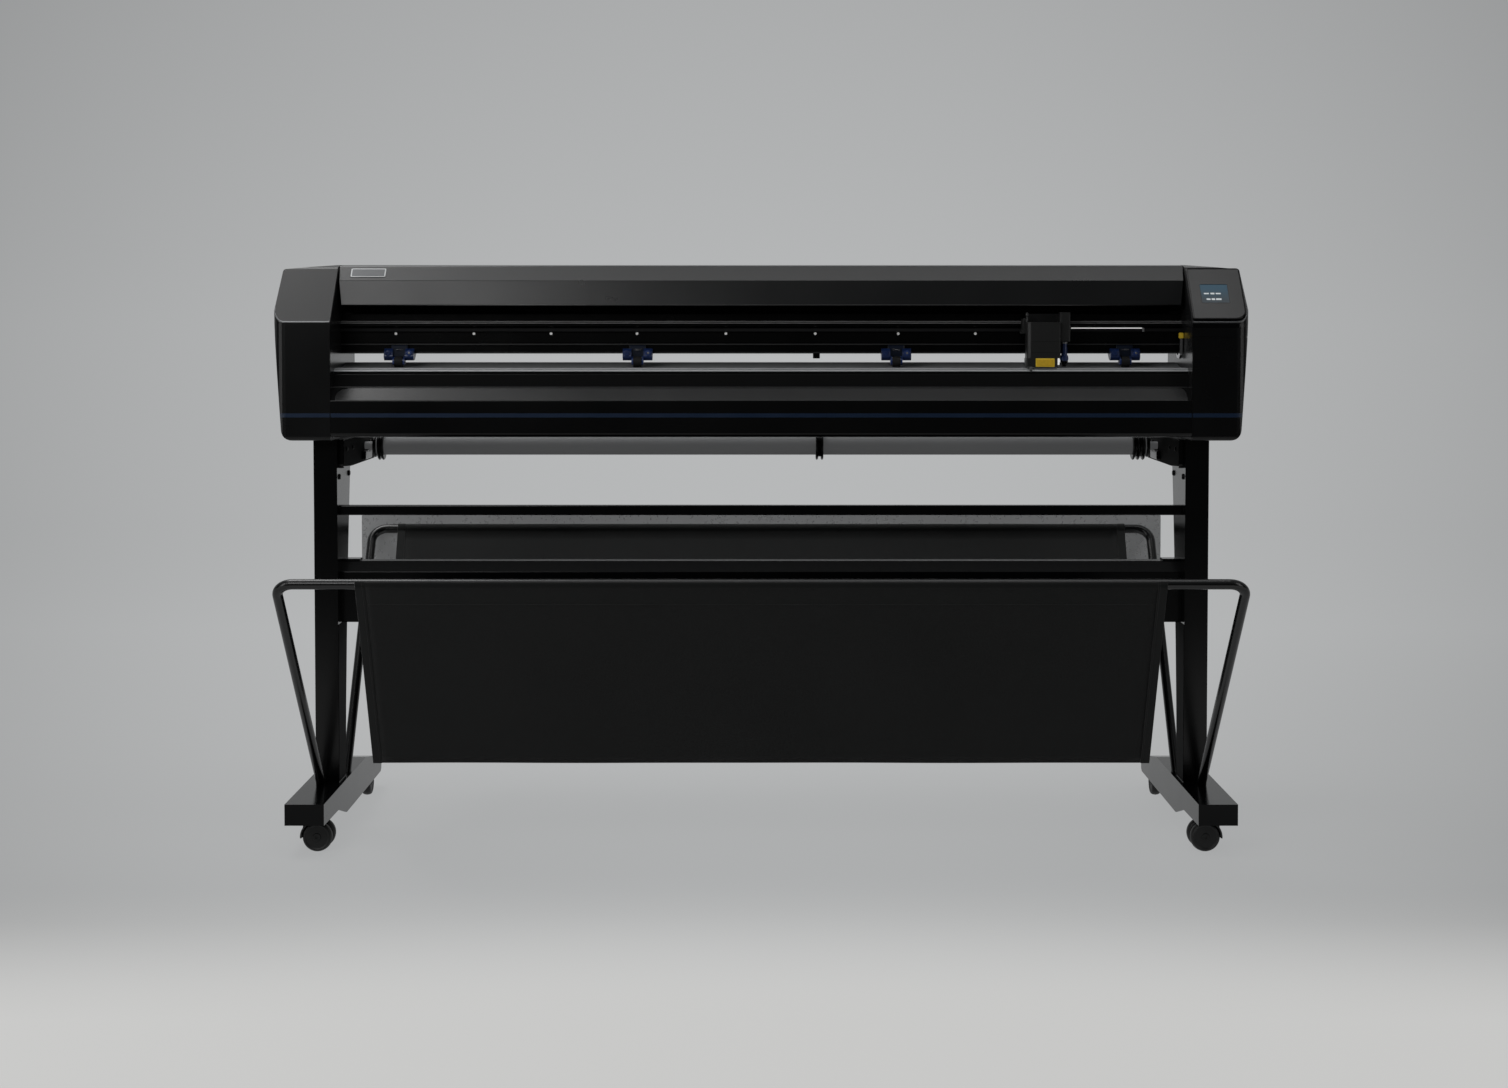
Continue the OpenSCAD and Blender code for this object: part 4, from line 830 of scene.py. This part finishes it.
# Generic bars on the display, no lettering: (across from its middle, up the slope) in mm, and (width, height)
# in units of BAR_W by BAR_H
BAR_W, BAR_H = 0.0020, 0.0027
DISPLAY_BARS = ((-16.25, 71.99, 5, 1.3), (-4.26, 71.99, 4, 1.6), (7.33, 71.99, 5, 1.3),
                (-13.64, 57.143, 4, 1.6), (-4.07, 57.143, 3.4, 1.8), (6.71, 57.143, 5.4, 1.7))
DISPLAY_X, DISPLAY_W = (display_low.x + display_high.x) / 2, display_high.x - display_low.x
DISPLAY_V, DISPLAY_H = 0.072, 0.0484        # middle up the slope, and height along it
DISPLAY_LIFT = 0.0044                       # height of its glass over the slope
bars = []
for x, v, w, h in DISPLAY_BARS:
    bars.append(stack([[on_slope(DISPLAY_X + x / 1000 + p * BAR_W, v / 1000 + q * BAR_H, DISPLAY_LIFT + lift)
                        for p, q in rounded_outline(w - inset, h - inset, 0.3, 2)]
                       for lift, inset in ((-0.00008, 0), (0.00022, 0), (0.00037, 0.2))]))
joined("display_bars", bars, "tile", "stand", "display_glass")
bezel = [[on_slope(DISPLAY_X + u, DISPLAY_V + v, DISPLAY_LIFT + lift)
          for u, v in rounded_outline(DISPLAY_W - 0.0006 + 2 * grow, DISPLAY_H + 2 * grow, 0.002 + grow, 4)]
         for grow, lift in ((0.0, 0.0002), (0.0, 0.0007), (0.0012, 0.0007), (0.0014, 0.0002))]
loft("display_bezel", bezel, "gloss_black", "stand", "display_glass", loop=True)

# ---- cutting head ----

HEAD = ("carriage", "black_plastic")    # body of the head's mouldings
head_low, head_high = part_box("head_cover")
HX0, HX1 = head_low.x, head_high.x      # left end of the nose, right side of the cover
HY, HZ = head_low.y, head_high.z        # front of the nose, top of the cover
turned("head_knob", (HX0 + 0.0032, HY + 0.018, HZ - 0.001), (0, 0, 1),
       [(0.0018, 0), (0.0018, 0.012), (0.0028, 0.0130), (0.0032, 0.015), (0.0032, 0.0175), (0.0026, 0.0195),
        (0.0012, 0.0203)], "tray", *HEAD, 18)
BRACKET_Z = 1.0060
block("head_bracket", (HX0 - 0.0045, HY + 0.026, BRACKET_Z), (HX0 + 0.0022, HY + 0.060, 1.0360), "head", "carriage",
      "tray_steel")
block("head_bracket_foot", (HX0 - 0.0080, HY + 0.034, BRACKET_Z), (HX0 - 0.0043, HY + 0.056, 1.0130), "head",
      "carriage", "tray_steel")
# Yellow tab on the nose with a plain inset
TAB_X, TAB_Z, TAB_W, TAB_H = HX0 + 0.0378, 0.9483, 0.0378, 0.0170
plate("head_tab", Vector((TAB_X, HY + 0.0001, TAB_Z)), TAB_W, TAB_H, 0.0007, 0.0012, (0, 0, 1), "yellow", *HEAD)
plate("head_tab_inset", Vector((TAB_X, HY - 0.0005, TAB_Z)), TAB_W - 0.0048, TAB_H - 0.0046, 0.0004, 0.0008,
      (0, 0, 1), "yellow_dark", *HEAD)
# A pale block on the head's side that glows: painted light
block("head_side_block", (HX1 - 0.0060, HY + 0.006, 0.9436), (HX1 - 0.0018, HY + 0.016, 0.9566), "white", *HEAD)
# Pointer below the nose, tapering down and forwards: x from and to, front, back, and their heights
POINTER = ((0.0045, 0.0125, -0.0012, 0.0010, 0.9400, 0.9400), (0.0068, 0.0104, -0.0060, -0.0042, 0.9335, 0.9345),
           (0.0078, 0.0094, -0.0068, -0.0058, 0.9285, 0.9285))
loft("head_pointer", [[(HX0 + x, HY + y, z) for x, y, z in
                       ((x0, y0, z0), (x1, y0, z0), (x1, y1, z1), (x0, y1, z1))]
                      for x0, x1, y0, y1, z0, z1 in POINTER], "head", *HEAD)
for i, z in enumerate((0.968, 0.990)):
    block("head_line_%d" % i, (HX0 + 0.0095, HY + 0.00192, z), (HX1 - 0.003, HY + 0.00215, z + 0.0004), "shadow",
          *HEAD, 0.0001)

# Silver collar, black nozzle and gripping ribs of the blade holder
BLADE = ("blade", "blue_plastic")
blade_low, blade_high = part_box("blade_holder")
BX, BY = (blade_low.x + blade_high.x) / 2, (blade_low.y + blade_high.y) / 2
turned("blade_collar", (BX, BY, 0.9862), (0, 0, 1),
       [(0.0062, 0), (0.0074, 0.0004), (0.0076, 0.0014), (0.0074, 0.0028), (0.0062, 0.0034)], "plate_rim", *BLADE)
turned("blade_nozzle", (BX, BY, 0.9396), (0, 0, 1),
       [(0.0012, 0), (0.0036, 0.0002), (0.0044, 0.0076), (0.0078, 0.0096), (0.0079, 0.0112), (0.0062, 0.0116)],
       "shadow", *BLADE)
RIBS, RIBS_R, RIBS_LOW, RIBS_HIGH = 12, 0.0076, 0.9535, 0.9590
ribs = []
for i in range(RIBS):
    a = 2 * math.pi * i / RIBS
    out, along = Vector((math.cos(a), math.sin(a), 0)), Vector((-math.sin(a), math.cos(a), 0))
    ribs.append(stack([[Vector((BX, BY, z)) + out * (RIBS_R + v) + along * u for u, v in
                        ((-0.0007, 0), (0.0007, 0), (0.0004, 0.0009), (-0.0004, 0.0009))]
                       for z in (RIBS_LOW, RIBS_HIGH)]))
joined("blade_knurl", ribs, "blue_light", *BLADE)

# ---- pinch rollers ----

KNOB_X, KNOB_Z = 0.0215, 0.0150         # from the carrier's middle and its lower edge
SPRING_R, SPRING_HALF, SPRING_Z = 0.0022, 0.0075, 0.0215
SPRING_STEP = 0.785                     # angle between its points, 8 of them a turn
for i in range(1, 5):
    low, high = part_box("pinch_carrier_%d" % i)
    cx = (low.x + high.x) / 2
    unit = ("pinch_%d" % i, "blue_plastic")
    for name, s, mat in (("left", -1, "blue"), ("right", 1, "blue_light")):
        turned("pinch_knob_%d_%s" % (i, name), (cx + s * KNOB_X, low.y + 0.0002, low.z + KNOB_Z), FORWARD,
               [(0.0056, -0.002), (0.0058, 0.0012), (0.0052, 0.0020), (0.0030, 0.0022), (0.0026, 0.0014)],
               mat, *unit, 20)
    turned("pinch_knob_dot_%d" % i, (cx + KNOB_X, low.y - 0.0012, low.z + KNOB_Z), FORWARD,
           [(0.0024, -0.0005), (0.0024, 0.0006), (0.0018, 0.0011), (0.0006, 0.0012)], "plate_rim", *unit, 16)
    # Block of darker blue in the middle: painted shade between the cheeks
    block("pinch_core_%d" % i, (cx - 0.0168, low.y + 0.0120, low.z + 0.0060),
          (cx + 0.0168, low.y + 0.0190, high.z - 0.0015), "blue_dark", *unit, 0.0012)
    # Spring over the bridge
    coil = [Vector((cx + SPRING_HALF * (k / 30 - 1), low.y + 0.0105 + SPRING_R * math.cos(k * SPRING_STEP),
                    low.z + SPRING_Z + SPRING_R * math.sin(k * SPRING_STEP))) for k in range(61)]
    sweep("pinch_spring_%d" % i, coil, oval(0.0004, 0.0004, 6), "steel", *unit)

# ---- front shelf ends and roll support ----

ROLLER_Z = 0.767
ROLLER_FRONT, ROLLER_REAR = FOOT_Y + 0.480, FOOT_Y + 0.590
SHELF_LOW, SHELF_HIGH = Vector((0, FOOT_Y + 0.1636, 0.8746)), Vector((0, FOOT_Y + 0.1900, 0.8980))
CORNER_IN, CORNER_V, CORNER_RISE, CORNER_TOP = 0.0086, 0.012, 0.0225, 0.0345
BOLT_HEAD = [(0.0046, -0.0003), (0.0046, 0.0018), (0.0036, 0.0026), (0.0018, 0.0027), (0.0016, 0.0012)]
for side, s, reach in (("left", -1, 0.030), ("right", 1, 0.016)):
    # A thin dull black piece over the shelf's end: painted shade
    way = (SHELF_HIGH - SHELF_LOW).normalized()
    out = Vector((0, -way.z, way.y))
    edge = [(CORNER_IN, 0.0), (CORNER_IN, CORNER_V)]
    edge += [(CORNER_IN + (reach - CORNER_IN) * (1 - math.cos(a)), CORNER_V + CORNER_RISE * math.sin(a))
             for a in (math.radians(15 * k) for k in range(1, 7))]
    edge += [(0.0003, CORNER_TOP), (0.0003, 0.0)]
    loft("shelf_end_shade_" + side,
         [[SHELF_LOW + Vector((s * (OPEN_HALF - x), 0, 0)) + way * v + out * h for x, v in edge]
          for h in (-0.0002, 0.0009)], "shadow", *SHELL)
    ends = ("support_roller_front", "roller_alu", 32)
    turned("roller_disc_" + side, (s * 0.8152, ROLLER_FRONT, ROLLER_Z), (s, 0, 0),
           [(0.0235, 0), (0.0250, 0.0010), (0.0250, 0.0050), (0.0240, 0.0058), (0.0120, 0.0062), (0.0110, 0.0068)],
           "shell", *ends)
    # A lighter ring on the roller's end: a painted highlight on its rim
    turned("roller_highlight_ring_" + side, (s * 0.8142, ROLLER_FRONT, ROLLER_Z), (s, 0, 0),
           [(0.0206, 0), (0.0222, 0.0004), (0.0222, 0.0016), (0.0206, 0.0020)],
           "grey_steel", *ends)
    turned("roller_disc_rear_" + side, (s * 0.8152, ROLLER_REAR, ROLLER_Z), (s, 0, 0),
           [(0.0150, 0), (0.0160, 0.0008), (0.0160, 0.0040), (0.0110, 0.0046)],
           "shell", "support_roller_rear", "roller_alu", 28)
    x0, x1 = sorted((s * 0.8315, s * 0.8403))
    block("bearing_plate_" + side, (x0, FOOT_Y + 0.440, 0.7390), (x1, FOOT_Y + 0.520, 0.7575), "leg", "stand",
          "leg_coat", 0.0015)
    screw_x = s * (BRACKET_FACE - 0.0001)
    joined("bracket_screws_" + side, [disc_form((screw_x, FOOT_Y + d, 0.772), (-s, 0, 0), BOLT_HEAD)
                                      for d in (0.262, 0.330, 0.540)], "bolt", *BOLTS)

# ---- back and sides ----


def studs(name, spots, way, r, node):
    """Screw heads where rays along way, through each (u, z), meet a piece; u runs across the way."""
    tree, way = tree_of(node), Vector(way)
    forms = []
    for u, z in spots:
        hit, n = cast(tree, Vector((abs(way.y) * u, abs(way.x) * u, z)) - way * 2, way)
        forms.append(disc_form(hit - n * 0.0004, n, [(r, 0), (r, 0.0011), (0.8 * r, 0.0017), (0.42 * r, 0.0018),
                                                     (0.34 * r, 0.0010)], 16))
    return joined(name, forms, "bolt", *BOLTS)


REAR_SCREW_X = [-0.80 + 0.20 * k for k in range(9)]
studs("rear_cover_screws", [(x, z) for z in (0.984, 1.060) for x in REAR_SCREW_X], FORWARD, 0.0034, "rear_cover")
studs("chassis_screws", [(x, 0.818) for x in REAR_SCREW_X], FORWARD, 0.0034, "chassis_tray")
studs("inlet_screws", [(x, 0.852) for x in (0.8655, 0.9405)], FORWARD, 0.0026, "end_cap_right")
SLOT_LOW, SLOT_HIGH, SLOT_HALF = 0.925, 0.965, 0.0016
for side, s in SIDES:
    cap = "end_cap_" + side
    studs("cap_side_screws_" + side, [(y, z) for y in (-0.01, 0.10, 0.19) for z in (0.822, 0.900)], (-s, 0, 0),
          0.0036, cap)
    studs("cap_back_screws_" + side, [(s * x, z) for x in (0.872, 0.948) for z in (0.815, 1.020)], FORWARD, 0.0034,
          cap)
    # Cooling slots low in the side of each cap
    tree = tree_of(cap)
    slots = []
    for y in (0.045 + 0.010 * k for k in range(9)):
        low, high = (cast(tree, (s * 2, y, z), (-s, 0, 0))[0] for z in (SLOT_LOW, SLOT_HIGH))
        slots.append(stack([[Vector((p.x + s * h, y + u, p.z)) for p, u in
                             ((low, -SLOT_HALF), (low, SLOT_HALF), (high, SLOT_HALF), (high, -SLOT_HALF))]
                            for h in (-0.0004, 0.0002)]))
    joined("cap_slots_" + side, slots, "shadow", *SHELL)

# Vents in the back, behind the power supply
VENT_LOW, VENT_HIGH, VENT_HALF = 0.845, 0.895, 0.0018
tree = tree_of("chassis_tray", "rear_cover")
vents = []
for x in (0.50 + 0.010 * k for k in range(26)):
    back = cast(tree, (x, 2, (VENT_LOW + VENT_HIGH) / 2), FORWARD)[0].y
    vents.append(stack([[(x + u, back + h, z) for u, z in
                         ((-VENT_HALF, VENT_LOW), (VENT_HALF, VENT_LOW), (VENT_HALF, VENT_HIGH),
                          (-VENT_HALF, VENT_HIGH))] for h in (-0.0004, 0.0003)]))
joined("rear_vents", vents, "shadow", *SHELL)

# The panel unit's skirt ends in a seam round the right cap's front
band("panel_skirt", [(x, -1, BACKWARD) for x in (OPEN_HALF + 0.0006, 0.90, CORNER_X)]
     + corner_rays(1, [8 * k for k in range(1, 10)]), (1.0004, 1.0262), 0.0004, "gloss_black", "end_cap_right")

# ---- stage ----

FLOOR_NEAR, FLOOR_FAR, WALL_Y, WALL_TOP, STAGE_X = -14.0, 6.8, 8.2, 12.0, 16.0
NEAR_TONE, FAR_TONE = 0.578, 0.462      # the stage's tone in front of the machine and under it
STAGE_LIT = 0.055                       # what the lamps add to the stage's own tone
WORLD_TONE = 0.45                       # what the camera sees beyond the stage; the floor's edge fades to it
COOL, WARM = (0.975, 0.992, 1.0, 1), (1.0, 1.0, 0.985, 1)


def stage_material():
    """Pale floor and backdrop with painted light: lighter in front of the machine, darker towards the sides and the
    top, where lamp light would fall off.

    The camera and reflections see most of that tone as light of its own, so it doesn't light the object;
    the rest is a dull surface that keeps the object's shadow.
    """
    mat, t = fresh("studio")
    calc, ramp = partial(math_node, t), partial(ramp_node, t)
    x, y, z = split_node(t, add(t, "TexCoord").outputs["Object"])
    near = ramp(y, -1.15, -0.45, NEAR_TONE, FAR_TONE, "SMOOTHSTEP")
    depth = ramp(y, -0.45, 3.0, 0.0, 0.064)
    height = ramp(z, 0.97, 2.84, 0.0, -0.065)
    spread = calc("DIVIDE", x, calc("MAXIMUM", calc("ADD", y, 4.7), 2.0))
    loss = calc("MULTIPLY", ramp(calc("MULTIPLY", spread, spread), 0.0, 0.16, 0.0, 0.28), ramp(y, -1.25, -0.7))
    tone = calc("MULTIPLY", calc("ADD", near, calc("ADD", depth, height)), calc("SUBTRACT", 1.0, loss))
    tone = calc("MULTIPLY", tone, ramp(y, -12.5, -5.5, WORLD_TONE / NEAR_TONE, 1.0, "SMOOTHSTEP"))
    path = add(t, "LightPath").outputs
    mirrored = calc("MAXIMUM", path["Is Glossy Ray"], path["Is Transmission Ray"])
    seen = calc("MAXIMUM", path["Is Camera Ray"], calc("MULTIPLY", mirrored, ramp(y, -3.0, -1.5, 0.04, 1.0)))
    own = add(t, "Emission")
    t.links.new(mix_node(t, ramp(y, -1.15, -0.45, 1.0, 0.0), COOL, WARM), own.inputs["Color"])
    t.links.new(calc("MULTIPLY", calc("SUBTRACT", tone, STAGE_LIT), seen), own.inputs["Strength"])
    total = add(t, "AddShader")
    t.links.new(add(t, "BsdfDiffuse", Color=(0.09, 0.09, 0.09, 1)).outputs[0], total.inputs[0])
    t.links.new(own.outputs[0], total.inputs[1])
    t.links.new(total.outputs[0], add(t, "OutputMaterial").inputs["Surface"])
    return mat


def build_stage():
    r = WALL_Y - FLOOR_FAR
    profile = [(FLOOR_NEAR, 0.0), (FLOOR_FAR, 0.0)]
    profile += [(FLOOR_FAR + r * math.sin(a), r - r * math.cos(a))
                for a in (math.radians(90 * i / 16) for i in range(1, 17))]
    profile.append((WALL_Y, WALL_TOP))
    verts = [(x, y, z) for y, z in profile for x in (-STAGE_X, STAGE_X)]
    faces = [[2 * k, 2 * k + 1, 2 * k + 3, 2 * k + 2] for k in range(len(profile) - 1)]
    me = bpy.data.meshes.new("studio")
    me.from_pydata(verts, [], faces)
    me.shade_smooth()
    me.materials.append(stage_material())
    put("studio", me)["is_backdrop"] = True


build_stage()


def softbox(name, at, aim, w, h, level):
    """An area lamp of the given size whose face has the radiance level."""
    data = bpy.data.lights.new(name, "AREA")
    data.shape = "RECTANGLE"
    data.size, data.size_y = w, h
    data.energy = level * math.pi * w * h
    o = put(name, data)
    o.location = at
    o.rotation_euler = (Vector(aim) - Vector(at)).to_track_quat("-Z", "Y").to_euler()
    o.visible_camera = False


softbox("top", (-0.25, -0.53, 3.5), (-0.25, -0.52, 0), 3.8, 1.0, 1.8)
softbox("top_left", (-1.6, 0.70, 3.3), (-1.5, 0.58, 0), 1.4, 1.3, 5.4)
softbox("left_front", (-1.75, -3.3, 2.5), (-0.2, 0, 1.0), 1.9, 1.2, 3.9)
softbox("left", (-3.4, -2.2, 1.6), (0, 0, 0.8), 1.2, 2.4, 2.2)
softbox("right", (3.4, -2.2, 1.6), (0, 0, 0.8), 1.1, 2.4, 1.6)
softbox("rear", (0.3, 2.9, 3.3), (0, 0.1, 0.9), 3.0, 0.9, 1.0)


def build_world():
    """A dim room in front of the machine, lighter overhead and behind; pale where the camera sees it."""
    world = bpy.data.worlds.new("world")
    scene.world = world
    world.use_nodes = True
    t = world.node_tree
    _, y, z = split_node(t, add(t, "TexCoord").outputs["Generated"])
    room = math_node(t, "ADD", ramp_node(t, z, 0.2, 0.95, 0.015, 0.25), ramp_node(t, y, 0.0, 0.8, 0.0, 0.35))
    beyond = math_node(t, "MULTIPLY", add(t, "LightPath").outputs["Is Camera Ray"], WORLD_TONE)
    back = t.nodes["Background"]
    t.links.new(math_node(t, "MAXIMUM", room, beyond), back.inputs["Strength"])
    back.inputs["Color"].default_value = (0.97, 0.99, 1.0, 1)


build_world()
scene.view_settings.view_transform = "Standard"

# ---- image points ----

# The piece that carries each image point, with its stretch along x where only a part is meant
FEATURES = {
    "badge": ("badge_rim",),
    "display": ("display",),
    "tab": ("head_tab",),
    "rail_screw_first": ("rail_screws", -0.75, -0.73),
    "rail_screw_last": ("rail_screws", 0.43, 0.445),
    "sensor": ("sheet_sensor",),
    "strip": ("belt_strip",),
    "stripe": ("stripe_cover",),
    "lever_grip": ("lever_grip",),
}


def write_points():
    """Image places of the finished vertices that show: their spread over the whole scene, and for each piece that
    carries an image point.
    """
    deps = bpy.context.evaluated_depsgraph_get()
    verts, faces, owner = [], [], {}
    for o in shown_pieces():
        done = o.evaluated_get(deps)
        me = done.to_mesh()
        base = len(verts)
        verts += [o.matrix_world @ v.co for v in me.vertices]
        faces += [[base + i for i in f.vertices] for f in me.polygons]
        owner[o.name] = (base, len(verts))
        done.to_mesh_clear()
    tree = BVHTree.FromPolygons(verts, faces)
    eye = cam.matrix_world.translation

    def shows(p):
        way = (eye - p).normalized()
        return cast(tree, p + way * 0.0012, way)[0] is None

    def spread(points):
        xs, ys = [q[0] for q in points], [q[1] for q in points]
        return min(xs), max(xs), min(ys), max(ys)

    seen = spread([to_image(p) for p in verts if shows(p)])
    for key, (name, *stretch) in FEATURES.items():
        first, last = owner.get(name, (0, 0))
        mine = [p for p in verts[first:last] if not stretch or stretch[0] < p.x < stretch[1]]
        inside = [to_image(p) for p in mine if shows(p)] or [to_image(p) for p in mine]


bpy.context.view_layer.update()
write_points()
